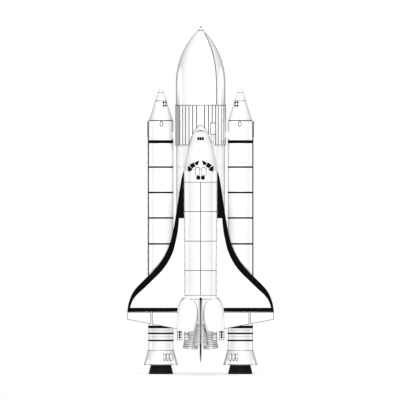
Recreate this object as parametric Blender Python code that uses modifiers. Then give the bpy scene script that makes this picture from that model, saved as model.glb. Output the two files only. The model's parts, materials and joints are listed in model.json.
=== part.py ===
"""Space shuttle launch stack, standing nose up, as a half-size model.

All sizes below are those of the full-size stack, in metres. The parent empty at the end of
the chain scales them. Axes: +X right, +Y away from the orbiter, +Z up. In the stack's own
frame the external tank's axis is x = 0, y = 0, and the booster nozzles stand on z = 0.
The orbiter's heights h run from its reference line towards its back, which faces -Y.
"""
import math

import bmesh
import bpy
from mathutils import Matrix, Vector

# Scale and gaps
SCALE = 0.5
GAP = 0.0003 / SCALE
MOVING_GAP = 0.006 / SCALE
ROUND_STEPS = 32
TANK_STEPS = 48

# External tank
TANK_R = 3.99
TANK_TIP_Z = 56.14
SPIKE_BASE_Z = 55.40
SPIKE_BASE_R = 0.50
OGIVE_SHOULDER_Z = 46.90
INTERTANK_TOP_Z = 43.38
INTERTANK_BASE_Z = 36.90
INTERTANK_R = 4.11
RIB_COUNT = 40
RIB_DEPTH = 0.09
AFT_TANK_R = 3.93
AFT_DOME_TOP_Z = 12.30
AFT_DOME_HEIGHT = 3.00
TRAY_AZIMUTH = math.radians(38.0)
TRAY_STATIONS = (53.9, 53.0, 51.6, 50.0, 48.4, OGIVE_SHOULDER_Z, INTERTANK_TOP_Z + 0.1)
TRAY_HALF = 0.16
TRAY_PROUD = 0.16
TRAY_SUNK = 0.30
FAIRING_LOW = (1.54, -4.75, 38.60)
FAIRING_HIGH = (2.46, -3.20, 40.50)
FEEDLINE_X = 1.93
FEEDLINE_R = 0.22
FEEDLINE_STANDOFF = 4.45
FEEDLINE_BEND = 0.55
BRACKET_Z = (34.2, 29.2, 24.2, 19.2, 14.2)
BRACKET_HALF_X = 0.12
BRACKET_HALF_Z = 0.10
BRACKET_DEPTH = 0.75
HYDROGEN_PIPE_Y = -4.10
HYDROGEN_PIPE_Z = 10.60
HYDROGEN_PIPE_END_Y = -1.60
HYDROGEN_BEND = 0.50
UMBILICAL_Z = 11.35
UMBILICAL_BACK_Y = -4.80
UMBILICAL_HALF_X = 0.36
UMBILICAL_HALF_Z = 0.45

# Links between the tank and the orbiter
BIPOD_Z = 35.95
BIPOD_DEPTH = 0.12
BIPOD_HALF = 0.16
BIPOD_LEG_START = 0.05
BIPOD_LEG_END = (1.45, -3.45, 35.30)
BIPOD_LEG_R = (0.11, 0.15)
BEAM_DEPTH = 0.42
BEAM_HALF = 2.35
BEAM_R = 0.15
FRAME_POST_X = 2.20
FRAME_POST_R = 0.19

# Solid rocket boosters
BOOSTER_X = 6.40
BOOSTER_R = 2.00
BOOSTER_TIP_Z = 46.08
CAP_LINE_Z = 44.00
CAP_LINE_R = 0.93
FRUSTUM_BASE_Z = 40.85
FRUSTUM_BASE_R = 1.95
FORWARD_SKIRT_BASE_Z = 37.75
CASE_BASE_Z = 3.87
SKIRT_TOP_R = 2.10
SKIRT_BASE_R = 2.74
SKIRT_BASE_Z = 1.48
SKIRT_WALL = 0.14
NOZZLE_TOP_R = 1.05
NOZZLE_EXIT_R = 2.00
NOZZLE_WALL = 0.12
SKIRT_MOTOR_X = (0.57, 1.07, 1.57)
SKIRT_MOTOR_Z = (3.08, 2.46)
SKIRT_MOTOR_R = 0.20
SKIRT_MOTOR_PROUD = 0.06
TUNNEL_PROUD = 0.13
TUNNEL_HALF = 0.13
TUNNEL_TOP_Z = 40.80
TUNNEL_HEAD_Z = 38.20
AFT_ATTACH_Z = 12.45
RING_R = 2.20
RING_HEIGHT = 0.60
BOOSTER_NOSE = (
    # radius, depth below the tip
    (0, 0), (0.20, 0.08), (0.36, 0.34), (0.62, 1.13),
)
FORWARD_FITTING_Z = (38.1, 39.0)
FORWARD_FITTING_HALF = 0.35
FITTING_OVERLAP = 0.3
STRUTS = (
    # y at the booster, y at the tank
    (-1.55, -1.75), (1.55, 1.75), (0.90, -0.20),
)
STRUT_BOOSTER_X = BOOSTER_X - 1.45
STRUT_TANK_X = 3.30
STRUT_R = 0.12
SKIRT_TOP_WALL = 0.35
FOOT_ANGLES = (37, 143, 217, 323)
FOOT_OUT = 2.62
FOOT_HALF = 0.20
FOOT_HEIGHT = 0.70
NOZZLE_PROFILE = (
    # radius, height
    (NOZZLE_TOP_R, CASE_BASE_Z - GAP), (NOZZLE_TOP_R, CASE_BASE_Z - 0.5), (1.30, 2.60),
    (1.62, SKIRT_BASE_Z), (NOZZLE_EXIT_R, 0.0),
)
TUNNEL_HEAD_HALF = 0.30
TUNNEL_HEAD_PROUD = 0.20

# Aft frame between tank and orbiter: name of each bar, its far end's x, y and z, and its radius
FRAME_BARS = (
    ("thrust", 2.80, -2.30, 14.90, 0.16),
    ("side", 2.85, -2.30, AFT_ATTACH_Z + 0.15, 0.12),
    ("diagonal", 0.70, -3.60, AFT_ATTACH_Z + 0.30, 0.10),
)

# Orbiter reference lines
REF_Y = 8.55
BELLY_H = -3.05
BODY_R = 2.66
BAY_R = 2.29
DOOR_THICKNESS = 0.20
SILL_ANGLE = math.radians(9.0)
DOOR_HINGE_OUT = 0.04
BAY_FORE_Z = 30.96
BAY_AFT_Z = 12.72
BULKHEAD_R = 2.25
BULKHEAD_DEPTH = 0.10
BELLY_CORNER_R = 0.12
AFT_MIDDLE_Z = 9.6
AFT_MIDDLE_TOP_H = 2.52
AFT_REAR_TOP_H = 2.36
SHELL = 0.12
CABIN_FORE_Z = 36.9
CABIN_AFT_Z = 31.20
NOSE_CAP_Z = 39.05

# Wing
WING_BASE_H = -3.00
DIHEDRAL = math.tan(math.radians(3.5))
WING_T_ROOT = 1.00
WING_T_RATIO = 0.085
HINGE_Z = 9.92
HINGE_R_ROOT = 0.25
HINGE_R_TIP = 0.12
WING_TIP_X = 11.80
BAND_Z = 10.74
GLOVE_STEP = 0.19
ELEVON_X = ((2.80, 7.80), (7.98, 11.78))
HINGE_LUG_X = (3.60, 7.00, 8.80, 10.96)
HINGE_LUG_HALF = 0.06
TRAILING_EDGE_ROOT = (3.86, 7.33)
TRAILING_EDGE_SLOPE = 0.191

# Fin, rudder and body flap
FIN_ROOT_H = 2.30
FIN_FRONT_Z = 12.45
FIN_TIP_H = 10.57
FIN_LEADING = ((2.90, 12.30), (10.57, 4.87))
FIN_HINGE = ((4.30, 7.11), (10.57, 3.13))
FIN_TRAILING = ((4.30, 4.76), (10.57, 2.07))
FIN_MIDDLE_H = 7.50
FIN_ROOT_STATIONS = (
    # h, half thickness, rear z
    (FIN_ROOT_H, 0.43, 8.55), (2.75, 0.43, 8.30), (3.25, 0.27, 8.00),
)
FIN_PROFILE = (
    # share of the length ahead of the rear edge, share of the half thickness
    (1.0, 0.10), (0.97, 0.45), (0.85, 0.85), (0.6, 1.0), (0.0, 0.92),
)
RUDDER_BASE_H = 4.36
RUDDER_TOP_H = 10.45
RUDDER_BLEND = 0.25
RUDDER_EDGE = 0.03
POST_R = 0.13
POST_INSET = 0.10
FLAP_HINGE = (7.40, -2.75)
FLAP_R = 0.30
FLAP_HALF_WIDTH = 2.62
FLAP_END_Z = 5.35
FLAP_EDGE = 0.06
NOTCH_SIDE = 0.03
NOTCH_TOP = 0.06
NOTCH_REACH = (0.5, 2.0)

# Engines
ENGINE_LENGTH = 3.99
ENGINE_EXIT_R = 1.195
DOME_R = 0.95
POCKET_GAP = 0.045
GIMBAL_R = 0.45
GIMBAL_POST_R = (0.05, 0.27)
GIMBAL_POST_REACH = 0.30
NECK = (0.40, -0.86)
BELL_WALL = 0.07
BELL_THROAT = -1.05
BELL_PROFILE = (
    # radius, height below the pivot
    (0.42, -0.98), (0.52, -1.25), (0.80, -1.95), (1.02, -2.80), (ENGINE_EXIT_R, -ENGINE_LENGTH),
)
ENGINES = (
    # name, pivot x, pivot h, pivot z, pitch up in degrees, cant outward in degrees
    ("upper", 0.0, 1.09, 8.76, 16.0, 0.0),
    ("left", -1.35, -1.46, 8.16, 10.0, -4.5),
    ("right", 1.35, -1.46, 8.16, 10.0, 4.5),
)
BASE_Z = 7.45
BASE_SLOPE = 0.235
BASE_REF_H = -1.46
SEAT_REACH = 6.0

# Crew hatch
HATCH_Z = 33.10
HATCH_H = -1.20
HATCH_R = 0.51
HATCH_GAP = 0.016
HATCH_CUT_X = (-2.15, -3.20)
HATCH_FORE_Z = 34.4
HATCH_AFT_Z = 32.0
HATCH_BARREL_R = 0.05
HATCH_BARREL_HALF = 0.30
STRAP_HALF = 0.11
STRAP_DEPTH = 0.22
STRAP_REACH = 0.06
STRAP_PLATE_START = 0.09
STRAP_PLATE_REACH = 0.08

# Forward fuselage: height z, half width, top h, bottom h, belly corner radius
FORWARD_SECTIONS = (
    (40.08, 0.02, -1.52, -1.56, 0.01),
    (39.95, 0.33, -1.16, -1.96, 0.20),
    (39.65, 0.63, -0.86, -2.20, 0.35),
    (39.05, 1.06, -0.45, -2.48, 0.55),
    (38.36, 1.36, -0.16, -2.64, 0.65),
    (37.40, 1.69, 0.14, -2.82, 0.65),
    (36.43, 2.00, 0.42, -2.93, 0.55),
    (35.15, 2.25, 0.78, -3.02, 0.40),
    (34.50, 2.39, 1.02, -3.05, 0.32),
    (33.20, 2.60, 2.02, -3.05, 0.20),
    (32.57, 2.66, 2.50, -3.05, 0.12),
    (BAY_FORE_Z + GAP, 2.66, 2.66, -3.05, 0.12),
)

# Wing plan: height z, leading edge x, inner edge x of the dark leading-edge strip
WING_PLAN = (
    (32.60, 2.72, 2.67),
    (31.93, 2.98, 2.67),
    (30.00, 3.31, 2.67),
    (28.00, 3.62, 2.67),
    (25.70, 3.98, 2.67),
    (25.50, 4.01, 3.42),
    (23.25, 4.40, 3.63),
    (21.60, 4.76, 3.94),
    (20.00, 5.33, 4.34),
    (18.40, 6.20, 5.05),
    (16.80, 7.47, 6.14),
    (15.20, 9.12, 7.71),
    (13.60, 10.62, 9.38),
    (12.80, 11.10, 10.25),
    (12.00, 11.42, 10.85),
    (11.20, 11.65, 11.20),
    (10.74, 11.72, 11.32),
    (9.92, 11.80, 11.45),
)

# Rear pods: height z, inner x, outer x, low h, top h
POD_SECTIONS = (
    (12.20, 1.75, 2.60, 1.70, 2.35),
    (11.95, 1.20, 3.10, 1.20, 2.75),
    (11.40, 0.80, 3.45, 0.80, 3.05),
    (10.60, 0.60, 3.70, 0.55, 3.30),
    (9.20, 0.55, 3.84, 0.45, 3.45),
    (7.05, 0.85, 3.86, 0.45, 3.40),
)
POD_POINTS = 20
POD_POWER = 2 / 2.7
# x, h and z spans of the thruster box behind each pod, and how far it runs into the pod
THRUSTER_BOX = (2.96, 3.78, 1.50, 2.75, 5.58, 7.05)
THRUSTER_BOX_JOIN = 0.30
# x, h, top z, exit z, throat radius and exit radius of each pod's engine
POD_ENGINE = (2.25, 2.30, 7.05, 5.50, 0.22, 0.46)
POD_BELL_WALL = 0.04

# Windows seen along Y, right side, as x and z corners; the left side mirrors them
FORWARD_WINDOWS = (
    ((0.24, 34.43), (0.95, 34.02), (0.69, 33.70), (0.48, 33.74)),
    ((1.22, 34.03), (1.78, 33.63), (1.38, 33.17), (0.85, 33.54)),
    ((1.98, 33.57), (1.98, 32.83), (1.75, 32.68), (1.35, 32.96), (1.51, 33.26)),
)
OVERHEAD_WINDOW = ((0.10, 33.10), (0.30, 33.30), (0.68, 33.30), (0.88, 33.10),
                   (0.88, 32.20), (0.70, 32.03), (0.30, 32.03), (0.10, 32.20))
AFT_WINDOW = ((0.12, 31.80), (0.22, 31.90), (0.50, 31.90), (0.60, 31.80),
              (0.60, 31.50), (0.50, 31.40), (0.22, 31.40), (0.12, 31.50))
# Heights h that the window cutters run between, from over the back down into the cabin
WINDOW_TOP_H = 3.40
FORWARD_WINDOW_H = 0.55
OVERHEAD_WINDOW_H = 1.60
# Panes under the skin: thickness, and the bands of x and z that they cover
PANE = 0.06
WINDSHIELD_H = 0.45
WINDSHIELD_BAND = (
    (-2.2, 33.75), (-1.2, 34.25), (0, 34.58), (1.2, 34.25), (2.2, 33.75), (2.2, 32.50),
    (1.3, 32.50), (0.98, 33.35), (0, 33.42), (-0.98, 33.35), (-1.3, 32.50), (-2.2, 32.50),
)
OVERHEAD_H = 1.50
OVERHEAD_BAND = ((-0.94, 33.34), (0.94, 33.34), (0.94, 31.34), (-0.94, 31.34))

# Flight deck: half width, and low and high h and z of each piece
DECK_FLOOR = (1.90, -0.25, -0.15, CABIN_AFT_Z + GAP, 35.0)
DECK_PANEL = (1.30, -0.20, 0.45, 34.0, 34.3)
SEAT_X = 0.75
SEAT_CUSHION = (0.28, -0.20, 0.15, 32.7, 33.4)
SEAT_BACK = (0.28, 0.10, 0.90, 32.7, 32.9)

# Colours
WHITE = (0.90, 0.90, 0.89)
BLACK = (0.03, 0.03, 0.035)
GREY = (0.45, 0.47, 0.48)
DARK = (0.12, 0.12, 0.13)
METAL = (0.40, 0.41, 0.43)


def clear_scene():
    """Remove whatever the file opened with."""
    for thing in list(bpy.data.objects):
        bpy.data.objects.remove(thing, do_unlink=True)


def new_collection(name):
    made = bpy.data.collections.new(name)
    bpy.context.scene.collection.children.link(made)
    return made


clear_scene()
PARTS = new_collection("space_shuttle_stack")
CUTTERS = new_collection("cutters")
STACK = bpy.data.objects.new("stack_frame", None)
PARTS.objects.link(STACK)
STACK.scale = (SCALE, SCALE, SCALE)
STACK.location = (0.0, SCALE * (REF_Y + FIN_TIP_H - INTERTANK_R) / 2, 0.0)


def material(name, color, rough, metallic=0.0):
    made = bpy.data.materials.new(name)
    made.use_nodes = True
    shader = made.node_tree.nodes["Principled BSDF"]
    shader.inputs["Base Color"].default_value = (*color, 1.0)
    shader.inputs["Roughness"].default_value = rough
    shader.inputs["Metallic"].default_value = metallic
    made.diffuse_color = (*color, 1.0)
    return made


def finish_mesh(mesh):
    """Weld double points, turn the faces outwards and shade the round parts smooth."""
    work = bmesh.new()
    work.from_mesh(mesh)
    bmesh.ops.remove_doubles(work, verts=work.verts, dist=0.00005)
    bmesh.ops.recalc_face_normals(work, faces=work.faces)
    work.to_mesh(mesh)
    work.free()
    mesh.shade_smooth()
    mesh.set_sharp_from_angle(angle=math.radians(35))
    return mesh


def add_part(name, mesh, look, origin=(0, 0, 0)):
    """A named piece in the stack's frame, with its own material and its origin at a joint or base."""
    color, rough, metallic = look
    mesh.transform(Matrix.Translation(-Vector(origin)))
    made = bpy.data.objects.new(name, mesh)
    PARTS.objects.link(made)
    made.parent = STACK
    made.location = origin
    mesh.materials.append(material(name, color, rough, metallic))
    return made


def add_cutter(name, mesh):
    made = bpy.data.objects.new(name, mesh)
    CUTTERS.objects.link(made)
    made.parent = STACK
    made.hide_render = True
    made.display_type = "WIRE"
    return made


def boolean(target, tool, operation):
    step = target.modifiers.new(operation.lower() + "_" + tool.name, "BOOLEAN")
    step.operation = operation
    step.solver = "EXACT"
    step.object = tool
    return step


def cut(target, *tools):
    for tool in tools:
        boolean(target, tool, "DIFFERENCE")


def join(target, *tools):
    for tool in tools:
        boolean(target, tool, "UNION")


def mesh_from(work, name="shape"):
    mesh = bpy.data.meshes.new(name)
    work.to_mesh(mesh)
    work.free()
    return finish_mesh(mesh)


def loft(sections):
    """A closed solid through closed loops that all have the same number of points."""
    work = bmesh.new()
    rings = [[work.verts.new(point) for point in section] for section in sections]
    count = len(rings[0])
    for ring, following in zip(rings, rings[1:]):
        for index in range(count):
            after = (index + 1) % count
            work.faces.new((ring[index], ring[after], following[after]))
            work.faces.new((ring[index], following[after], following[index]))
    work.faces.new(rings[0])
    work.faces.new(rings[-1])
    return mesh_from(work, "loft")


def box_mesh(low, high):
    work = bmesh.new()
    bmesh.ops.create_cube(work, size=1.0)
    size = [b - a for a, b in zip(low, high)]
    centre = [(a + b) / 2 for a, b in zip(low, high)]
    bmesh.ops.scale(work, vec=size, verts=work.verts)
    bmesh.ops.translate(work, vec=centre, verts=work.verts)
    return mesh_from(work, "box")


def rod_mesh(start, end, radius, end_radius=None, steps=16):
    """A straight round bar between two points."""
    start, end = Vector(start), Vector(end)
    along = end - start
    work = bmesh.new()
    bmesh.ops.create_cone(
        work, cap_ends=True, segments=steps, radius1=radius,
        radius2=radius if end_radius is None else end_radius, depth=along.length)
    turn = along.to_track_quat("Z", "Y").to_matrix().to_4x4()
    work.transform(Matrix.Translation((start + end) / 2) @ turn)
    return mesh_from(work, "rod")


def ball_mesh(centre, radius, rings=12):
    work = bmesh.new()
    bmesh.ops.create_uvsphere(work, u_segments=2 * rings, v_segments=rings, radius=radius)
    bmesh.ops.translate(work, vec=centre, verts=work.verts)
    return mesh_from(work, "ball")


def turned_mesh(profile, centre=(0, 0), steps=ROUND_STEPS):
    """The solid of revolution about Z of a profile of radius and height that runs down the outer side."""
    mesh = bpy.data.meshes.new("profile")
    closed = profile[0][0] > 0
    edges = [(i, i + 1) for i in range(len(profile) - 1)]
    if closed:
        edges.append((len(profile) - 1, 0))
    mesh.from_pydata([(r, 0, z) for r, z in profile], edges, [])
    holder = bpy.data.objects.new("turning", mesh)
    CUTTERS.objects.link(holder)
    screw = holder.modifiers.new("turn", "SCREW")
    screw.axis = "Z"
    screw.angle = math.tau
    screw.steps = steps
    screw.render_steps = steps
    screw.use_merge_vertices = True
    screw.merge_threshold = 0.00005
    graph = bpy.context.evaluated_depsgraph_get()
    made = bpy.data.meshes.new_from_object(holder.evaluated_get(graph))
    bpy.data.objects.remove(holder, do_unlink=True)
    made.transform(Matrix.Translation((centre[0], centre[1], 0)))
    return finish_mesh(made)


def capsule_mesh(start, end, radius, steps=12):
    """A round bar between two points with rounded ends past them."""
    start, end = Vector(start), Vector(end)
    length = (end - start).length
    rows = [(0, -radius), (radius * 0.7, -radius * 0.7), (radius, 0), (radius, length),
            (radius * 0.7, length + radius * 0.7), (0, length + radius)]
    mesh = turned_mesh(rows[::-1], steps=steps)
    turn = (end - start).to_track_quat("Z", "Y").to_matrix().to_4x4()
    mesh.transform(Matrix.Translation(start) @ turn)
    return mesh


def tube_mesh(points, radius):
    """A bent pipe along a smooth curve through the points, with filled caps."""
    curve = bpy.data.curves.new("pipe", "CURVE")
    curve.dimensions = "3D"
    curve.bevel_depth = radius
    curve.bevel_resolution = 3
    curve.use_fill_caps = True
    spline = curve.splines.new("POLY")
    spline.points.add(len(points) - 1)
    for target, point in zip(spline.points, points):
        target.co = (*point, 1.0)
    holder = bpy.data.objects.new("pipe", curve)
    CUTTERS.objects.link(holder)
    graph = bpy.context.evaluated_depsgraph_get()
    made = bpy.data.meshes.new_from_object(holder.evaluated_get(graph))
    bpy.data.objects.remove(holder, do_unlink=True)
    return finish_mesh(made)


def elbow(start, corner, end, radius, steps=6):
    """Points of a pipe from start to end that turns at the corner through an arc."""
    start, corner, end = Vector(start), Vector(corner), Vector(end)
    first = (start - corner).normalized() * radius
    last = (end - corner).normalized() * radius
    points = [start]
    for index in range(steps + 1):
        t = index / steps
        a = (corner + first).lerp(corner, t)
        b = corner.lerp(corner + last, t)
        points.append(a.lerp(b, t))
    points.append(end)
    return points


def prism_mesh(outline, low_y, high_y):
    """A prism along Y over an outline of x and z."""
    return loft([[(x, y, z) for x, z in outline] for y in (low_y, high_y)])


def orb(x, h, z):
    """A point of the orbiter in the stack's frame: h is the height above its reference line."""
    return (x, -(REF_Y + h), z)


def between(table, value, column):
    """Linear reading of a column from rows that run down in their first column."""
    if value >= table[0][0]:
        return table[0][column]
    for upper, lower in zip(table, table[1:]):
        if value >= lower[0]:
            t = (upper[0] - value) / (upper[0] - lower[0])
            return upper[column] + t * (lower[column] - upper[column])
    return table[-1][column]


# External tank

SHELL_LOOK = (WHITE, 0.75, 0.0)
GREY_LOOK = (GREY, 0.6, 0.0)
BLACK_LOOK = (BLACK, 0.6, 0.0)
METAL_LOOK = (METAL, 0.4, 0.8)


def ogive_radius(z):
    """Radius of the tank's nose: one arc that is tangent to the barrel at the shoulder."""
    if z <= OGIVE_SHOULDER_Z:
        return TANK_R
    reach = SPIKE_BASE_Z - OGIVE_SHOULDER_Z
    drop = TANK_R - SPIKE_BASE_R
    arc = (reach ** 2 + drop ** 2) / (2 * drop)
    rise = z - OGIVE_SHOULDER_Z
    return TANK_R - arc + math.sqrt(arc ** 2 - rise ** 2)


def nose_profile(grow=0.0):
    """The forward tank's profile, or the same with every facet moved out for a cutter."""
    steps = 8
    reach = SPIKE_BASE_Z - OGIVE_SHOULDER_Z
    heights = [SPIKE_BASE_Z - reach * i / steps for i in range(steps + 1)]
    nose = [(ogive_radius(z) + grow, z + grow) for z in heights]
    return [(0, SPIKE_BASE_Z + grow)] + nose + [(TANK_R + grow, INTERTANK_TOP_Z), (0, INTERTANK_TOP_Z)]


def dome_profile(grow=0.0):
    """The aft dome's profile, from its rim down to the axis."""
    radius, height, steps = AFT_TANK_R + grow, AFT_DOME_HEIGHT + grow, 6
    angles = [math.pi / 2 * index / steps for index in range(steps)]
    rows = [(radius * math.cos(angle), AFT_DOME_TOP_Z - height * math.sin(angle)) for angle in angles]
    return rows + [(0, AFT_DOME_TOP_Z - height)]


def tank():
    add_part("tank_forward", turned_mesh(nose_profile(), steps=TANK_STEPS), SHELL_LOOK)

    base = SPIKE_BASE_Z + GAP
    spike = [(0, TANK_TIP_Z), (0.10, TANK_TIP_Z - 0.06), (0.13, TANK_TIP_Z - 0.18),
             (0.10, TANK_TIP_Z - 0.30), (0.26, base + 0.22), (SPIKE_BASE_R - 0.02, base), (0, base)]
    add_part("tank_nose_cap", turned_mesh(spike, steps=16), GREY_LOOK)

    ribs = []
    for index in range(RIB_COUNT):
        pitch = math.tau / RIB_COUNT
        for share, radius in ((0.0, 1), (0.45, 1), (0.55, 0), (0.9, 0)):
            angle = (index + share) * pitch
            r = INTERTANK_R - (0 if radius else RIB_DEPTH)
            ribs.append((r * math.cos(angle), r * math.sin(angle)))
    top, base = INTERTANK_TOP_Z - GAP, INTERTANK_BASE_Z + GAP
    add_part("tank_ribbed_band", loft([[(x, y, z) for x, y in ribs] for z in (top, base)]), SHELL_LOOK)

    profile = [(0, INTERTANK_BASE_Z), (AFT_TANK_R, INTERTANK_BASE_Z)] + dome_profile()
    add_part("tank_aft", turned_mesh(profile, steps=TANK_STEPS), SHELL_LOOK)


def tank_cutter(name, radius, steps=TANK_STEPS):
    """A barrel for pieces that seat on the tank. On the smooth tank it has the same facets."""
    reach = radius + GAP
    high, low = INTERTANK_TOP_Z + 1, AFT_DOME_TOP_Z - 4
    return add_cutter(name, turned_mesh([(0, high), (reach, high), (reach, low), (0, low)], steps=steps))


def rib_cutter(name):
    """The same for the ribbed band, with a facet against each rib's crest."""
    steps = 2 * RIB_COUNT
    cutter = tank_cutter(name, INTERTANK_R / math.cos(math.pi / steps), steps)
    cutter.rotation_euler = (0, 0, math.pi / steps)
    return cutter


def on_tank(azimuth, radius, z):
    """A point at an angle from the orbiter's side of the tank towards +X."""
    return (radius * math.sin(azimuth), -radius * math.cos(azimuth), z)


def tank_lines():
    """Cable tray up the forward tank, and the oxygen feed line with its fairing and brackets."""
    sections = []
    side = Vector((math.cos(TRAY_AZIMUTH), math.sin(TRAY_AZIMUTH), 0)) * TRAY_HALF
    for z in TRAY_STATIONS:
        inner = Vector(on_tank(TRAY_AZIMUTH, ogive_radius(z) - TRAY_SUNK, z))
        outer = Vector(on_tank(TRAY_AZIMUTH, ogive_radius(z) + TRAY_PROUD, z))
        sections.append([inner - side, inner + side, outer + side * 0.7, outer - side * 0.7])
    tray = add_part("tank_cable_tray", loft(sections), SHELL_LOOK)
    cut(tray, add_cutter("tray_seat", turned_mesh(nose_profile(GAP), steps=TANK_STEPS)))

    fairing = add_part("feedline_fairing", box_mesh(FAIRING_LOW, FAIRING_HIGH), SHELL_LOOK)
    cut(fairing, rib_cutter("intertank_seat"))

    y = -math.sqrt(FEEDLINE_STANDOFF ** 2 - FEEDLINE_X ** 2)
    top = (FEEDLINE_X, y, FAIRING_LOW[2] - GAP)
    corner = (FEEDLINE_X, y, UMBILICAL_Z)
    end = (FEEDLINE_X, UMBILICAL_BACK_Y - 0.1, UMBILICAL_Z)
    route = elbow(top, corner, end, FEEDLINE_BEND)
    pipe = add_part("oxygen_feedline", tube_mesh(route, FEEDLINE_R), SHELL_LOOK)
    seat = tank_cutter("aft_tank_seat", AFT_TANK_R)
    for index, z in enumerate(BRACKET_Z):
        block = add_cutter(f"line_bracket_{index}", box_mesh(
            (FEEDLINE_X - BRACKET_HALF_X, y - 0.05, z - BRACKET_HALF_Z),
            (FEEDLINE_X + BRACKET_HALF_X, y + BRACKET_DEPTH, z + BRACKET_HALF_Z)))
        cut(block, seat)
        join(pipe, block)
    join(pipe, umbilical_block("oxygen_umbilical", 1))


def umbilical_block(name, side):
    """The plate block between the tank's pipes and the orbiter's belly."""
    belly = -(REF_Y + BELLY_H) + GAP
    return add_cutter(name, box_mesh(
        (side * FEEDLINE_X - UMBILICAL_HALF_X, belly, UMBILICAL_Z - UMBILICAL_HALF_Z),
        (side * FEEDLINE_X + UMBILICAL_HALF_X, UMBILICAL_BACK_Y, UMBILICAL_Z + UMBILICAL_HALF_Z)))


def tank_links():
    """The forward bipod and the aft frame that carry the orbiter, and the hydrogen umbilical."""
    belly = -(REF_Y + BELLY_H) + GAP
    seat = tank_cutter("link_seat", AFT_TANK_R)
    apex = Vector((0, belly + BIPOD_DEPTH, BIPOD_Z))
    block = Vector((BIPOD_HALF, BIPOD_DEPTH, BIPOD_HALF))
    bipod = add_part("forward_bipod", box_mesh(apex - block, apex + block), METAL_LOOK)
    for side in (-1, 1):
        x, y, z = BIPOD_LEG_END
        leg = add_cutter(f"bipod_leg_{side}", rod_mesh(
            apex + Vector((0, BIPOD_LEG_START, 0)), (side * x, y, z), *BIPOD_LEG_R, steps=12))
        cut(leg, seat)
        join(bipod, leg)

    beam_y = belly + BEAM_DEPTH
    frame = add_part("aft_support_frame", rod_mesh(
        (-BEAM_HALF, beam_y, AFT_ATTACH_Z), (BEAM_HALF, beam_y, AFT_ATTACH_Z), BEAM_R, steps=8), METAL_LOOK)
    for side in (-1, 1):
        end = (side * FRAME_POST_X, beam_y, AFT_ATTACH_Z)
        foot = (side * FRAME_POST_X, belly, AFT_ATTACH_Z)
        join(frame, add_cutter(f"frame_post_{side}", rod_mesh(end, foot, FRAME_POST_R, steps=8)))
        for label, x, y, z, radius in FRAME_BARS:
            bar = add_cutter(f"frame_{label}_{side}", rod_mesh(end, (side * x, y, z), radius, steps=8))
            cut(bar, seat)
            join(frame, bar)

    start = (-FEEDLINE_X, UMBILICAL_BACK_Y + 0.1, UMBILICAL_Z)
    corner = (-FEEDLINE_X, HYDROGEN_PIPE_Y, HYDROGEN_PIPE_Z)
    end = (-FEEDLINE_X, HYDROGEN_PIPE_END_Y, HYDROGEN_PIPE_Z)
    route = elbow(start, corner, end, HYDROGEN_BEND)
    pipe = add_part("hydrogen_feedline", tube_mesh(route, FEEDLINE_R), SHELL_LOOK)
    join(pipe, umbilical_block("hydrogen_umbilical", -1))
    dome = [(0, INTERTANK_BASE_Z), (AFT_TANK_R + GAP, INTERTANK_BASE_Z)] + dome_profile(GAP)
    cut(pipe, add_cutter("dome_seat", turned_mesh(dome, steps=TANK_STEPS)))


# Boosters

def booster(name, side):
    """One booster, from its nose cap to its nozzle; side is -1 on the left and 1 on the right."""
    centre = (side * BOOSTER_X, 0)
    cap = [(radius, BOOSTER_TIP_Z - depth) for radius, depth in BOOSTER_NOSE]
    cap += [(CAP_LINE_R, CAP_LINE_Z + GAP), (0, CAP_LINE_Z + GAP)]
    add_part(f"booster_nose_{name}", turned_mesh(cap, centre), SHELL_LOOK)
    frustum = [(0, CAP_LINE_Z), (CAP_LINE_R, CAP_LINE_Z), (FRUSTUM_BASE_R, FRUSTUM_BASE_Z + GAP),
               (0, FRUSTUM_BASE_Z + GAP)]
    add_part(f"booster_frustum_{name}", turned_mesh(frustum, centre), SHELL_LOOK)

    skirt = [(0, FRUSTUM_BASE_Z), (BOOSTER_R, FRUSTUM_BASE_Z), (BOOSTER_R, FORWARD_SKIRT_BASE_Z + GAP),
             (0, FORWARD_SKIRT_BASE_Z + GAP)]
    forward = add_part(f"booster_forward_skirt_{name}", turned_mesh(skirt, centre), SHELL_LOOK)
    near, far = INTERTANK_R - FITTING_OVERLAP, BOOSTER_X - BOOSTER_R + FITTING_OVERLAP
    low, high = sorted((side * near, side * far))
    fitting = add_cutter(f"forward_fitting_{name}", box_mesh(
        (low, -FORWARD_FITTING_HALF, FORWARD_FITTING_Z[0]),
        (high, FORWARD_FITTING_HALF, FORWARD_FITTING_Z[1])))
    cut(fitting, rib_cutter(f"forward_fitting_seat_{name}"))
    join(forward, fitting)

    case = [(0, FORWARD_SKIRT_BASE_Z), (BOOSTER_R, FORWARD_SKIRT_BASE_Z), (BOOSTER_R, CASE_BASE_Z + GAP),
            (0, CASE_BASE_Z + GAP)]
    add_part(f"booster_motor_{name}", turned_mesh(case, centre), SHELL_LOOK)

    near, far = BOOSTER_X + BOOSTER_R + GAP, BOOSTER_X + BOOSTER_R + TUNNEL_PROUD
    low, high = sorted((side * near, side * far))
    ring_top = AFT_ATTACH_Z + RING_HEIGHT / 2
    tunnel = add_part(f"booster_tunnel_{name}", box_mesh(
        (low, -TUNNEL_HALF, ring_top + GAP), (high, TUNNEL_HALF, TUNNEL_TOP_Z)), SHELL_LOOK)
    low, high = sorted((side * near, side * (BOOSTER_X + BOOSTER_R + TUNNEL_HEAD_PROUD)))
    join(tunnel, add_cutter(f"tunnel_head_{name}", box_mesh(
        (low, -TUNNEL_HEAD_HALF, TUNNEL_HEAD_Z), (high, TUNNEL_HEAD_HALF, TUNNEL_TOP_Z))))
    attach_ring(name, side, centre)
    aft_skirt(name, side, centre)
    inside = [(radius - NOZZLE_WALL, z) for radius, z in reversed(NOZZLE_PROFILE)]
    add_part(f"booster_nozzle_{name}", turned_mesh(list(NOZZLE_PROFILE) + inside, centre), BLACK_LOOK)


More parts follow.
